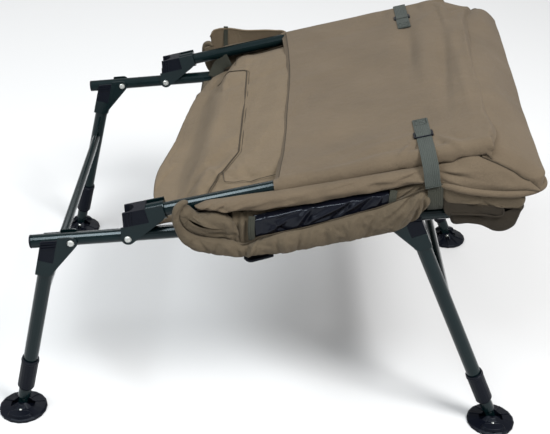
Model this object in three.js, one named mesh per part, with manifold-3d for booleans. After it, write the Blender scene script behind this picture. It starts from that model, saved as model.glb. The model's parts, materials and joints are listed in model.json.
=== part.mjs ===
// A folding carp fishing chair, closed for storage with the backrest laid over the seat.
// Millimetres, +Z up, +X to the front of the chair, +Y to its left. The origin is on the ground,
// midway between the four feet.
import * as THREE from 'three';
import { mergeVertices } from 'three/addons/utils/BufferGeometryUtils.js';
import Module from 'manifold-3d';

const wasm = await Module();
wasm.setup();

const { cos, sin, acos, atan2, hypot, PI, max, min, sign, abs } = Math;
const degrees = PI / 180;

// Driving dimensions of the whole chair
const clearance = 0.3;
const overrun = 20;
const footSpan = 832.6;
const railSpan = 610;
const seatHeight = 397.3;
const seatTilt = 6.81 * degrees;

// Driving dimensions of the tubes
const frameTube = { radius: 11, wall: 1.5 };
const outerLegTube = { radius: 12.4, wall: 1.2 };
const innerLegTube = { radius: outerLegTube.radius - outerLegTube.wall - clearance, wall: 1.2 };

// Stations along the rails, measured from the point above the origin
const railRearEnd = -372;
const railFrontEnd = 330;
const rearLegRivetStation = -306.6;
const reclineRivetStation = -214.1;
const frontLegRivetStation = 200.4;
const seatFrontStation = 400;
const bowRadius = 45;

// The backrest, closed over the seat
const backClosedAngle = 8.11 * degrees;
const backOpenTurn = 95 * degrees;
const backLift = 32.7;
const backTopStation = 579;
const backBowStation = 520;

// The clamps that join a tube to a rail: two plates on a collar, with a rivet through the rail
const clampReach = 34.5;
const plateThickness = 2.5;
const plateClearance = 1.2;
const lobeRadius = 10.5;
const saddleDepth = 34;
const saddleRise = 6;
const saddleOverhang = 2.2;
const saddleLip = { depth: 1.3, height: 2.4, pitch: 5.2, count: 3 };
const spigotLength = 16;
const bracketCollarLength = 29;
const rivet = { shaftRadius: 3, headRadius: 6, headHeight: 3.4 };

// The legs
const legBar = { width: 15, height: 26, wall: 1.6 };
const rearBarStation = 126;
const frontBarStation = 203;
const rearGussetTop = 72;
const frontGussetTop = 96;
const gussetReach = 98;
const gussetThickness = 3;
const collarLength = 66;
const collarWall = 2;
const collarNose = 4;
const collarRing = { width: 4, depth: 0.7, drop: 3 };
const collarGroundHeight = 50;
const innerLegLap = 105;

// The feet
const foot = { radius: 41.8, rim: 4.5, hubRadius: 13, hubHeight: 19, recess: 2, land: 11 };
const footPinHeight = 13;
const footPin = { shaftRadius: 2.5, headRadius: 4, headHeight: 2.2 };
const knuckle = { radius: 7.6, width: 15, neck: 18, cone: 4 };

// Rail end caps
const capLip = 2.5;
const capPlug = 12;

// The cloth
const clothThickness = 1.3;
const slingRear = -118;
const slingSleeveEnd = 178;
const slingFront = 292;
const seatPad = { rear: -137, front: 409, flangeEnd: 255, flangeWidth: 28, lobe: 60 };
const seatSplit = { rearHeight: 8, peakStation: 198, peakHeight: 54, frontHeight: 36 };
const splitGap = 1;
const stationStep = 1;
const railCover = 9;
const padCrown = 1.5;
const padFlangeStep = 3;
const padFrontSteps = [24, 8, 0];
const backPadRootLift = 3;
const frontSleeve = { rear: 296, overhang: 30, drop: 19, rise: 35 };
const backPad = { rear: 85, lobeStart: 158, skewShare: 0.15, front: 645, overhang: 22, lobeReach: 8 };
const hood = { hem: 250, front: 655, ease: 2.1, wall: 2.4, skewShare: 0.036, drop: 88, crown: 2 };
const webbing = { width: 25, thickness: 1.5 };
const hoodStrap = { station: 486, reach: 108, drop: 30 };
const railStrapStation = 272;
const railStrapRise = 46;
const rainStrip = { rear: -8, front: 200, rearLow: -1, frontLow: 34, height: 24.7, thickness: 1.6 };

// Mesh fineness
const roundSides = 18;
const smallSides = 10;
const sweptSegments = 7;
const bendSteps = 4;
const meetingSteps = 6;

// Materials
const finishes = {
  frame: { color: 0x1c2623, roughness: 0.34, metalness: 0.55 },
  moulding: { color: 0x16181f, roughness: 0.55, metalness: 0.0 },
  rivet: { color: 0xa9adab, roughness: 0.3, metalness: 0.9 },
  cloth: { color: 0x85796a, roughness: 0.92, metalness: 0.0 },
  webbing: { color: 0x585d56, roughness: 0.88, metalness: 0.0 },
  coated: { color: 0x1d2230, roughness: 0.3, metalness: 0.0 },
};

const chair = new THREE.Group();

// Solids

function solidFrom(geometry) {
  const bare = geometry.clone();
  for (const name of Object.keys(bare.attributes)) {
    if (name !== 'position') bare.deleteAttribute(name);
  }
  const merged = mergeVertices(bare);
  const vertProperties = Float32Array.from(merged.attributes.position.array);
  const triVerts = Uint32Array.from(merged.index.array);
  return new wasm.Manifold(new wasm.Mesh({ numProp: 3, vertProperties, triVerts }));
}

function geometryFrom(solid) {
  const mesh = solid.getMesh();
  const geometry = new THREE.BufferGeometry();
  geometry.setAttribute('position', new THREE.BufferAttribute(mesh.vertProperties, mesh.numProp));
  geometry.setIndex(new THREE.BufferAttribute(mesh.triVerts, 1));
  return geometry;
}

function joined(first, ...others) {
  let solid = solidFrom(first);
  for (const other of others) solid = solid.add(solidFrom(other));
  return geometryFrom(solid);
}

function cut(first, ...others) {
  let solid = solidFrom(first);
  for (const other of others) solid = solid.subtract(solidFrom(other));
  return geometryFrom(solid);
}

// A shape turned about Z. The profile is a list of [radius, z], outer side upwards.
function turned(profile, sides = roundSides) {
  const points = profile.map(([radius, z]) => new THREE.Vector2(radius, z));
  return new THREE.LatheGeometry(points, sides).rotateX(PI / 2);
}

function rod(radius, low, high, sides = roundSides) {
  return turned([[0, low], [radius, low], [radius, high], [0, high]], sides);
}

function tube(outer, inner, low, high, sides = roundSides) {
  return turned([[inner, low], [outer, low], [outer, high], [inner, high], [inner, low]], sides);
}

// A rod along Y through a point of the XZ plane
function crossRod(radius, length, x, z, sides = smallSides) {
  return rod(radius, -length / 2, length / 2, sides).rotateX(PI / 2).translate(x, 0, z);
}

function box(x, y, z) {
  const size = [x[1] - x[0], y[1] - y[0], z[1] - z[0]];
  const middle = [(x[0] + x[1]) / 2, (y[0] + y[1]) / 2, (z[0] + z[1]) / 2];
  return new THREE.BoxGeometry(...size).translate(...middle);
}

// A flat plate in the XZ plane, from y to y plus its thickness
function plate(shape, y, thickness, curveSegments = bendSteps) {
  const options = { depth: thickness, bevelEnabled: false, curveSegments };
  return new THREE.ExtrudeGeometry(shape, options).rotateX(PI / 2).translate(0, y + thickness, 0);
}

// A shape drawn in the YZ plane, with its thickness along X on both sides of a station
function crossPlate(shape, station, thickness) {
  const geometry = new THREE.ExtrudeGeometry(shape, { depth: thickness, bevelEnabled: false });
  const across = new THREE.Vector3(0, 1, 0);
  const upward = new THREE.Vector3(0, 0, 1);
  const along = new THREE.Vector3(1, 0, 0);
  geometry.applyMatrix4(new THREE.Matrix4().makeBasis(across, upward, along));
  return geometry.translate(station - thickness / 2, 0, 0);
}

function polygon(points) {
  return new THREE.Shape(points.map(([x, z]) => new THREE.Vector2(x, z)));
}

// A route that carries one ring at each of its points, so straight runs need no extra rings
class Route extends THREE.Curve {
  constructor(points) {
    super();
    this.points = points;
  }

  getPoint(t) {
    const place = min(t, 1) * (this.points.length - 1);
    const index = min(Math.floor(place), this.points.length - 2);
    return this.points[index].clone().lerp(this.points[index + 1], place - index);
  }

  getPointAt(t) {
    return this.getPoint(t);
  }

  getSpacedPoints() {
    return this.points.map((point) => point.clone());
  }

  getTangentAt(t) {
    const last = this.points.length - 1;
    const index = Math.round(t * last);
    const before = this.points[max(index - 1, 0)];
    const after = this.points[min(index + 1, last)];
    const forward = after.clone().sub(this.points[index]).normalize();
    const back = this.points[index].clone().sub(before).normalize();
    return forward.add(back).normalize();
  }
}

// The bowed end of a frame: straight at both sides, with two round corners, in the XY plane
function bowRoute(start, reach, span) {
  const half = span / 2;
  const points = [new THREE.Vector3(start, -half, 0)];
  const corner = reach - bowRadius;
  for (const side of [-1, 1]) {
    for (let step = 0; step <= bendSteps; step += 1) {
      const share = side < 0 ? step / bendSteps : 1 - step / bendSteps;
      const turn = share * PI / 2;
      const x = corner + bowRadius * sin(turn);
      const y = side * (half - bowRadius + bowRadius * cos(turn));
      points.push(new THREE.Vector3(x, y, 0));
    }
  }
  points.push(new THREE.Vector3(start, half, 0));
  return new Route(points);
}

function swept(route, outer, inner) {
  const shape = new THREE.Shape().absarc(0, 0, outer, 0, 2 * PI);
  if (inner > 0) shape.holes.push(new THREE.Path().absarc(0, 0, inner, 0, 2 * PI, true));
  const steps = route.points.length - 1;
  const options = { steps, extrudePath: route, curveSegments: sweptSegments, bevelEnabled: false };
  return new THREE.ExtrudeGeometry(shape, options);
}

// A closed skin over rings of points, with its two ends filled
function loft(rings, outline) {
  const count = rings[0].length;
  const positions = rings.flat().flatMap((point) => point.toArray());
  const index = [];
  for (let ring = 0; ring < rings.length - 1; ring += 1) {
    for (let item = 0; item < count; item += 1) {
      const a = ring * count + item;
      const b = ring * count + (item + 1) % count;
      index.push(a, a + count, b, b, a + count, b + count);
    }
  }
  const last = (rings.length - 1) * count;
  const endFaces = (ring) => THREE.ShapeUtils.triangulateShape(ring.map(outline), []);
  for (const [a, b, c] of endFaces(rings[0])) index.push(c, b, a);
  for (const [a, b, c] of endFaces(rings[rings.length - 1])) index.push(last + a, last + b, last + c);
  const geometry = new THREE.BufferGeometry();
  geometry.setAttribute('position', new THREE.Float32BufferAttribute(positions, 3));
  geometry.setIndex(index);
  return geometry;
}

// Straight-line reading of a table of [place, value]
function reading(table, place) {
  if (place <= table[0][0]) return table[0][1];
  for (let item = 1; item < table.length; item += 1) {
    const [high, value] = table[item];
    const [low, before] = table[item - 1];
    if (place <= high) return before + (value - before) * (place - low) / (high - low);
  }
  return table[table.length - 1][1];
}

// Frames that the pieces are placed in

const seatFrame = new THREE.Group();
seatFrame.position.set(0, 0, seatHeight);
seatFrame.rotation.y = -seatTilt;
chair.add(seatFrame);

const backFrame = new THREE.Group();
const backFoot = {
  u: reclineRivetStation - backLift * sin(backClosedAngle),
  w: backLift * cos(backClosedAngle),
};
backFrame.position.set(backFoot.u, 0, backFoot.w);
backFrame.rotation.y = -backClosedAngle;
seatFrame.add(backFrame);

// A place beside the rails, as seen from the backrest
function onBack(u, w) {
  const du = u - backFoot.u;
  const dw = w - backFoot.w;
  return {
    u: du * cos(backClosedAngle) + dw * sin(backClosedAngle),
    h: dw * cos(backClosedAngle) - du * sin(backClosedAngle),
  };
}

function add(group, name, geometry, finish) {
  const mesh = new THREE.Mesh(geometry, new THREE.MeshStandardMaterial(finishes[finish]));
  mesh.name = name;
  group.add(mesh);
  return mesh;
}

const sides = [['right', -1], ['left', 1]];

// Seat rails

const railBore = frameTube.radius - frameTube.wall;
const rivetStations = [rearLegRivetStation, reclineRivetStation, frontLegRivetStation];

function seatRail() {
  const run = tube(frameTube.radius, railBore, railRearEnd, railFrontEnd).rotateY(PI / 2);
  const drill = rivet.shaftRadius + clearance;
  const holes = rivetStations.map((u) => crossRod(drill, 2 * frameTube.radius + overrun, u, 0));
  return cut(run, ...holes);
}

function endCap() {
  const plug = railBore - clearance;
  const gap = capLip + clearance;
  const profile = [[0, 0], [frameTube.radius - clearance, 0], [frameTube.radius, clearance],
    [frameTube.radius, capLip], [plug, capLip], [plug, gap + capPlug], [0, gap + capPlug]];
  return turned(profile).rotateY(PI / 2).translate(railRearEnd - gap, 0, 0);
}

for (const [side, way] of sides) {
  add(seatFrame, `seat_rail_${side}`, seatRail().translate(0, way * railSpan / 2, 0), 'frame');
  add(seatFrame, `rail_end_cap_${side}`, endCap().translate(0, way * railSpan / 2, 0), 'moulding');
}

const frontBow = bowRoute(railFrontEnd + clearance, seatFrontStation, railSpan);
add(seatFrame, 'seat_front_tube', swept(frontBow, frameTube.radius, railBore), 'frame');

// Clamps: the frame of a clamp has its origin where the rail's axis crosses the tube's, Z along the
// tube away from the rail, and the rivet towards X times side. The angle is from Z to the rail.

const plateInner = frameTube.radius + plateClearance;
const plateOuter = plateInner + plateThickness;

function clampGeometry(angle, side, reach = clampReach) {
  const along = { x: side * sin(angle), z: cos(angle) };
  const away = { x: side * cos(angle), z: -sin(angle) };
  return { side, along, away, rivet: { x: along.x * reach, z: along.z * reach } };
}

// The point where a line from a place touches a circle, on the side that turn names
function tangentPoint(centre, radius, place, turn) {
  const dx = centre.x - place.x;
  const dz = centre.z - place.z;
  const reach = hypot(dx, dz);
  const lean = atan2(dz, dx) + turn * acos(radius / reach);
  return { x: centre.x - radius * cos(lean), z: centre.z - radius * sin(lean) };
}

function bracketOutline(clamp, collarEnd) {
  const { side, along, away, rivet: centre } = clamp;
  const inner = side * (frameTube.radius - clearance);
  const corner = { x: side * plateInner, z: collarEnd - plateOuter / 2 };
  const low = tangentPoint(centre, lobeRadius, corner, -side);
  const top = { x: centre.x + away.x * lobeRadius, z: centre.z + away.z * lobeRadius };
  const run = (top.x - inner) / along.x;
  const shape = new THREE.Shape();
  shape.moveTo(-side * plateOuter, saddleDepth + clearance);
  shape.lineTo(-side * plateOuter, collarEnd - clearance);
  shape.lineTo(side * plateInner / 2, collarEnd - clearance);
  shape.lineTo(corner.x, corner.z);
  shape.lineTo(low.x, low.z);
  const from = atan2(low.z - centre.z, low.x - centre.x);
  const to = atan2(top.z - centre.z, top.x - centre.x);
  shape.absarc(centre.x, centre.z, lobeRadius, from, to, side > 0);
  shape.lineTo(top.x - along.x * run, top.z - along.z * run);
  shape.lineTo(inner, saddleDepth + clearance);
  return shape;
}

function bracket(clamp, tubeRadius, collarEnd) {
  const outline = bracketOutline(clamp, collarEnd);
  const plates = [-plateOuter, plateInner].map((y) => plate(outline, y, plateThickness));
  const collar = rod(plateOuter, saddleDepth + clearance, collarEnd);
  const bore = rod(tubeRadius + clearance, saddleDepth - overrun, collarEnd + overrun);
  const drillRadius = rivet.shaftRadius + clearance;
  const drill = crossRod(drillRadius, 2 * plateOuter + overrun, clamp.rivet.x, clamp.rivet.z);
  return cut(joined(collar, ...plates), bore, drill);
}

// The open trough that grips the rail, swept along the rail's axis
function trough(clamp) {
  const radius = frameTube.radius + clearance;
  const shape = new THREE.Shape();
  shape.moveTo(radius, overrun);
  shape.lineTo(radius, 0);
  shape.absarc(0, 0, radius, 0, -PI, true);
  shape.lineTo(-radius, overrun);
  const length = 2 * (clampReach + overrun);
  const options = { depth: length, bevelEnabled: false, curveSegments: smallSides };
  const geometry = new THREE.ExtrudeGeometry(shape, options);
  const across = new THREE.Vector3(0, 1, 0);
  const away = new THREE.Vector3(clamp.away.x, 0, clamp.away.z);
  const axis = new THREE.Vector3().crossVectors(across, away);
  geometry.translate(0, 0, -length / 2);
  return geometry.applyMatrix4(new THREE.Matrix4().makeBasis(across, away, axis));
}

function saddleLips(clamp, halfWidth) {
  const lips = [];
  const innerX = clamp.side * (frameTube.radius - clearance) - clamp.side * saddleLip.height / 2;
  const outerX = -clamp.side * (halfWidth - saddleLip.height / 2);
  for (let item = 0; item < saddleLip.count; item += 1) {
    const middle = saddleLip.pitch * (item + 1 / 2) - saddleRise;
    const lean = clamp.along.z / clamp.along.x;
    const ends = [outerX, innerX].map((x) => ({ x, z: middle + x * lean }));
    const half = saddleLip.height / 2;
    const outline = polygon([
      [ends[0].x, ends[0].z - half], [ends[1].x, ends[1].z - half],
      [ends[1].x, ends[1].z + half], [ends[0].x, ends[0].z + half],
    ]);
    const depth = 2 * (halfWidth + saddleLip.depth);
    lips.push(plate(outline, -depth / 2, depth));
  }
  return lips;
}

function saddle(clamp, tubeBore) {
  const halfWidth = plateOuter;
  const inner = clamp.side * (frameTube.radius - clearance);
  const outer = -clamp.side * halfWidth;
  const lean = clamp.along.z / clamp.along.x;
  const rise = -saddleRise;
  const outline = polygon([
    [outer, rise + outer * lean], [inner, rise + inner * lean],
    [inner, saddleDepth], [outer, saddleDepth],
  ]);
  const block = plate(outline, -halfWidth, 2 * halfWidth);
  const spigot = rod(tubeBore - clearance, saddleDepth - saddleOverhang, saddleDepth + spigotLength);
  return cut(joined(block, spigot, ...saddleLips(clamp, halfWidth)), trough(clamp));
}

// A rivet along Y with a domed head at each side
function rivetGeometry(halfGrip, size) {
  const { shaftRadius, headRadius, headHeight } = size;
  const head = halfGrip + clearance;
  const domeShares = [[0, 1], [0.7, 0.8], [1, 0.15]];
  const dome = domeShares.map(([r, h]) => [r * headRadius, head + h * headHeight]);
  const lower = dome.map(([r, z]) => [r, -z]);
  const profile = [...lower, [headRadius, -head], [shaftRadius, -head], [shaftRadius, head],
    [headRadius, head], ...dome.slice().reverse()];
  return turned(profile, smallSides).rotateX(PI / 2);
}

function addRivet(station, name) {
  for (const [side, way] of sides) {
    const shape = rivetGeometry(plateOuter, rivet).translate(station, way * railSpan / 2, 0);
    add(seatFrame, `${name}_${side}`, shape, 'rivet');
  }
}

addRivet(reclineRivetStation, 'recline_rivet');
addRivet(rearLegRivetStation, 'rear_leg_rivet');
addRivet(frontLegRivetStation, 'front_leg_rivet');

// Backrest frame

const openAngle = backClosedAngle + backOpenTurn;
const backClamp = clampGeometry(openAngle, 1, backLift / sin(openAngle));
const backClampShift = -backClamp.rivet.z;
const backTubeStart = backClampShift + saddleDepth + clearance;
const backCollarEnd = saddleDepth + bracketCollarLength;

// The clamp's Z is the tube's own direction, and its X points down from the tube
const backClampFrame = new THREE.Group();
backClampFrame.position.set(backClampShift, 0, 0);
backClampFrame.rotation.y = PI / 2;
backFrame.add(backClampFrame);

for (const [side, way] of sides) {
  const y = way * railSpan / 2;
  const run = tube(frameTube.radius, railBore, backTubeStart, backBowStation).rotateY(PI / 2);
  add(backFrame, `back_side_tube_${side}`, run.translate(0, y, 0), 'frame');
  const fork = bracket(backClamp, frameTube.radius, backCollarEnd).translate(0, y, 0);
  add(backClampFrame, `recline_bracket_${side}`, fork, 'frame');
  add(backClampFrame, `recline_saddle_${side}`, saddle(backClamp, railBore).translate(0, y, 0), 'moulding');
}

const topBow = bowRoute(backBowStation + clearance, backTopStation, railSpan);
add(backFrame, 'back_top_tube', swept(topBow, frameTube.radius, railBore), 'frame');

// Legs: a leg's frame is its clamp's, so Z runs down the leg

const legBore = outerLegTube.radius - outerLegTube.wall;
const collarBore = outerLegTube.radius + clearance;
const collarOuter = collarBore + collarWall;

function legPlan(name, rivetStation, footWay, barStation, gussetTop) {
  const u = rivetStation + footWay * clampReach;
  const x = u * cos(seatTilt);
  const z = seatHeight + u * sin(seatTilt);
  const run = footWay * footSpan / 2 - x;
  const drop = z - footPinHeight;
  const lean = atan2(run, drop);
  const pinStation = hypot(run, drop);
  const angle = PI / 2 + abs(lean) - footWay * seatTilt;
  const collarEnd = (z - collarGroundHeight) / cos(lean);
  return {
    name, x, z, lean, pinStation, barStation, gussetTop, collarEnd,
    clamp: clampGeometry(angle, footWay),
  };
}

function outerLeg(plan) {
  const low = plan.collarEnd - collarNose - collarBore;
  return tube(outerLegTube.radius, legBore, saddleDepth + clearance, low);
}

function twistCollar(plan) {
  const end = plan.collarEnd;
  const start = end - collarLength;
  const step = end - collarNose - collarBore + clearance;
  const neck = innerLegTube.radius + clearance;
  const ring = start + collarRing.drop;
  const ringRadius = collarOuter + collarRing.depth;
  const profile = [
    [collarBore, start], [collarOuter, start], [collarOuter, ring], [ringRadius, ring + collarRing.depth],
    [ringRadius, ring + collarRing.width], [collarOuter, ring + collarRing.width + collarRing.depth],
    [collarOuter, end - collarNose], [neck + collarWall / 2, end], [neck, end], [neck, step],
    [collarBore, step], [collarBore, start],
  ];
  return turned(profile);
}

function innerLeg(plan) {
  const shoulder = plan.pinStation - knuckle.neck;
  const top = plan.collarEnd - collarLength - innerLegLap;
  const bore = innerLegTube.radius - innerLegTube.wall;
  const neck = knuckle.radius;
  const profile = [
    [0, shoulder - knuckle.cone], [bore, shoulder - knuckle.cone], [bore, top], [innerLegTube.radius, top],
    [innerLegTube.radius, shoulder], [neck, shoulder + knuckle.cone], [0, shoulder + knuckle.cone],
  ];
  const tongue = new THREE.Shape();
  tongue.moveTo(-knuckle.radius, shoulder);
  tongue.lineTo(-knuckle.radius, plan.pinStation);
  tongue.absarc(0, plan.pinStation, knuckle.radius, PI, 0, true);
  tongue.lineTo(knuckle.radius, shoulder);
  const fin = plate(tongue, -knuckle.width / 2, knuckle.width, smallSides);
  const hole = crossRod(footPin.shaftRadius + clearance, knuckle.width + overrun, 0, plan.pinStation);
  return cut(joined(turned(profile), fin), hole);
}

// A flat-oval outline, as wide and high as the cross bar and grown by an amount
function ovalOutline(grow) {
  const radius = legBar.width / 2 + grow;
  const lift = (legBar.height - legBar.width) / 2;
  const shape = new THREE.Shape();
  shape.absarc(0, lift, radius, 0, PI);
  shape.absarc(0, -lift, radius, PI, 2 * PI);
  return shape;
}

// The gusset in the corner between a leg and the cross bar
function gusset(plan, way) {
  const half = railSpan / 2;
  const bottom = plan.barStation - legBar.height / 2 + legBar.wall;
  const lap = 2 * legBar.wall;
  const outline = polygon([
    [way * half, plan.gussetTop], [way * half, bottom],
    [way * (half - gussetReach), bottom], [way * (half - gussetReach), bottom - lap],
    [way * (half - outerLegTube.radius - lap), plan.gussetTop],
  ]);
  return crossPlate(outline, 0, gussetThickness);
}

// A hollow bar across the two legs, with a gusset up each leg
function legCrossBar(plan) {
  const half = railSpan / 2;
  const segments = smallSides / 2;
  const skin = plate(ovalOutline(0), -half, railSpan, segments);
  const core = plate(ovalOutline(-legBar.wall), -half - overrun, railSpan + 2 * overrun, segments);
  const bar = cut(skin, core).translate(0, 0, plan.barStation);
  const reach = [plan.gussetTop - overrun, plan.barStation + legBar.height];
  const legs = sides.map(([, way]) => {
    return rod(outerLegTube.radius + clearance, ...reach).translate(0, way * half, 0);
  });
  const beyond = sides.map(([, way]) => {
    const y = [way * half, way * (half + overrun)].sort((a, b) => a - b);
    return box([-overrun, overrun], y, reach);
  });
  const gussets = sides.map(([, way]) => gusset(plan, way));
  return cut(joined(bar, ...gussets), ...legs, ...beyond);
}

function footDisc() {
  const { radius, rim, hubRadius, hubHeight, recess, land } = foot;
  const slopeShares = [[1, 1], [0.93, 1.45], [0.45, 2.4]];
  const slope = slopeShares.map(([r, h]) => [r * radius, h * rim]);
  const profile = [
    [0, recess], [radius - land - recess, recess], [radius - land, 0], [radius - recess, 0],
    [radius, recess / 2], ...slope, [hubRadius, hubHeight - recess],
    [hubRadius - recess, hubHeight], [0, hubHeight],
  ];
  const slot = knuckle.width / 2 + clearance;
  const floor = footPinHeight - knuckle.radius - clearance;
  const reach = hubRadius + knuckle.radius;
  const gap = box([-reach, reach], [-slot, slot], [floor, hubHeight + overrun]);
  const hole = crossRod(footPin.shaftRadius + clearance, 2 * radius, 0, footPinHeight);
  const heads = sides.map(([, way]) => {
    const y = [way * (hubRadius - recess), way * radius].sort((a, b) => a - b);
    const head = footPin.headRadius + clearance;
    return box([-head, head], y, [footPinHeight - head, hubHeight + overrun]);
  });
  return cut(turned(profile), gap, hole, ...heads);
}

function addLeg(plan, side, way) {
  const y = way * railSpan / 2;
  const frame = new THREE.Group();
  frame.position.set(plan.x, y, plan.z);
  frame.rotation.y = PI - plan.lean;
  chair.add(frame);
  const fork = bracket(plan.clamp, outerLegTube.radius, saddleDepth + bracketCollarLength);
  add(frame, `${plan.name}_leg_bracket_${side}`, fork, 'frame');
  add(frame, `${plan.name}_leg_saddle_${side}`, saddle(plan.clamp, legBore), 'moulding');
  add(frame, `${plan.name}_outer_leg_${side}`, outerLeg(plan), 'frame');
  add(frame, `${plan.name}_twist_collar_${side}`, twistCollar(plan), 'moulding');
  add(frame, `${plan.name}_inner_leg_${side}`, innerLeg(plan), 'frame');
  const stand = new THREE.Group();
  stand.position.set(sign(plan.lean) * footSpan / 2, y, 0);
  chair.add(stand);
  add(stand, `${plan.name}_foot_${side}`, footDisc(), 'moulding');
  const pin = rivetGeometry(foot.hubRadius - foot.recess, footPin).translate(0, 0, footPinHeight);
  add(stand, `${plan.name}_foot_pin_${side}`, pin, 'rivet');
}

const rearLegs = legPlan('rear', rearLegRivetStation, -1, rearBarStation, rearGussetTop);
const frontLegs = legPlan('front', frontLegRivetStation, 1, frontBarStation, frontGussetTop);
for (const plan of [rearLegs, frontLegs]) {
  for (const [side, way] of sides) addLeg(plan, side, way);
  const frame = new THREE.Group();
  frame.position.set(plan.x, 0, plan.z);
  frame.rotation.y = PI - plan.lean;
  chair.add(frame);
  add(frame, `${plan.name}_cross_bar`, legCrossBar(plan), 'frame');
}

// Seat cloth

const sleeveOuter = frameTube.radius + clearance + clothThickness;
const plateGap = railSpan / 2 - plateOuter - saddleLip.depth - 2 * clearance;

function seatSling() {
  const half = railSpan / 2;
  const top = -frameTube.radius - clearance;
  const wide = box([slingRear, slingSleeveEnd], [-half, half], [top - clothThickness, top]);
  const narrow = box([slingRear, slingFront], [-plateGap, plateGap], [top - clothThickness, top]);
  const sleeves = sides.map(([, way]) => {
    const sleeve = rod(sleeveOuter, slingRear, slingSleeveEnd).rotateY(PI / 2);
    return sleeve.translate(0, way * half, 0);
  });
  const bores = sides.map(([, way]) => {
    const bore = rod(frameTube.radius + clearance, slingRear - overrun, slingSleeveEnd + overrun);
    return bore.rotateY(PI / 2).translate(0, way * half, 0);
  });
  return cut(joined(wide, narrow, ...sleeves), ...bores);
}

add(seatFrame, 'seat_sling', seatSling(), 'cloth');

// The height where the seat pad and the back pad meet, between the rails and over them
function splitHeight(u, outer = false) {
  const height = reading([
    [seatPad.rear, seatSplit.rearHeight], [seatSplit.peakStation, seatSplit.peakHeight],
    [seatPad.front, seatSplit.frontHeight],
  ], u);
  return outer ? max(height, notchTop + railCover) : height;
}

// Where the height over the rails leaves the height between them
function coverEnd() {
  const slope = (seatSplit.peakHeight - seatSplit.rearHeight) / (seatSplit.peakStation - seatPad.rear);
  return seatPad.rear + (notchTop + railCover - seatSplit.rearHeight) / slope;
}

const padLength = seatPad.front - seatPad.rear;
const padBottom = -frameTube.radius;
const notchTop = sleeveOuter + 2 * clearance;
const notchInner = railSpan / 2 - plateOuter - rivet.headHeight - 2 * clearance;
const crossShares = [0, 0.35, 0.7, 1];
const unflangedEdge = railSpan / 2 + frameTube.radius - clothThickness;
const notchOuter = railSpan / 2 + plateOuter + rivet.headHeight + 2 * clearance;

// Shares of the pad's length, and of its end lobe's height, along the rolled side
const sideTopShares = [[0, 0.8], [0.013, 0.93], [0.031, 1], [0.068, 0.92], [0.099, 0.82], [0.132, 0.5]];
const sideLowShares = [[0, 0.3], [0.013, 0.05], [0.035, -0.15], [0.095, -0.42], [0.167, -0.6],
  [0.201, -0.65], [0.357, -0.55], [0.478, -0.4], [0.597, -0.28], [0.681, 0.03], [0.723, 0.4]];
const padStationShares = [0, 0.013, 0.031, 0.068, 0.099, 0.132, 0.16, 0.24, 0.36, 0.48, 0.6, 0.68];
const lobeEndShare = 0.132;
const coverEaseShare = 0.85;
const endEaseShare = 0.35;
const easeLengthShare = 0.06;
// Down the rolled side: how far down, and how far out from the notch
const rollShares = [
  [0, 0.3], [0.3, 0.42], [0.55, 0.45], [0.68, 0.86], [0.82, 1], [0.93, 0.8], [1, 0.42],
];

function padHalfRing(u) {
  const share = (u - seatPad.rear) / padLength;
  const flanged = u <= seatPad.flangeEnd;
  const fullTop = splitHeight(u) - splitGap / 2;
  const ease = min(1, endEaseShare + min(share, 1 - share) / easeLengthShare);
  const low = u > slingFront ? notchTop : padBottom;
  const top = low + (fullTop - low) * ease;
  const outerTop = low + (splitHeight(u, true) - splitGap / 2 - low) * max(ease, coverEaseShare);
  const lobeTop = reading(sideTopShares, share) * seatPad.lobe;
  const sideTop = share < lobeEndShare ? lobeTop : outerTop - clearance;
  const sideLow = flanged ? reading(sideLowShares, share) * seatPad.lobe : notchTop + clearance;
  const across = crossShares.map((part) => [part * notchInner, top - padCrown * part * part]);
  across.push([notchInner + clearance, outerTop]);
  const shoulder = [unflangedEdge - clearance, outerTop];
  const edge = flanged ? notchOuter : unflangedEdge;
  const width = flanged ? seatPad.flangeWidth : clearance;
  const roll = rollShares.map(([down, out]) => [edge + out * width, sideTop + (sideLow - sideTop) * down]);
  const innerLow = flanged ? sideLow + seatPad.flangeWidth / 4 : notchTop + clearance / 2;
  const lower = [[edge, innerLow], [edge - clearance, notchTop], [notchInner + clearance, notchTop]];
  lower.push(...crossShares.map((part) => [part * notchInner, low + padCrown * part * part / 2]).reverse());
  return [...across, shoulder, ...roll, ...lower];
}

function mirroredRing(half, place) {
  const left = half.map(([y, w]) => place(y, w));
  const right = half.slice(1, -1).reverse().map(([y, w]) => place(-y, w));
  return [...left, ...right];
}

function seatPadSolid() {
  const stations = padStationShares.map((share) => seatPad.rear + share * padLength);
  stations.push(seatPad.flangeEnd, seatPad.flangeEnd + padFlangeStep);
  stations.push(slingFront - stationStep, slingFront + stationStep, coverEnd(), seatSplit.peakStation);
  stations.push(...padFrontSteps.map((step) => seatPad.front - step));
  stations.sort((a, b) => a - b);
  const rings = stations.map((u) => mirroredRing(padHalfRing(u), (y, w) => new THREE.Vector3(u, y, w)));
  return loft(rings, (point) => new THREE.Vector2(point.y, point.z));
}

add(seatFrame, 'seat_pad', seatPadSolid(), 'cloth');

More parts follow.
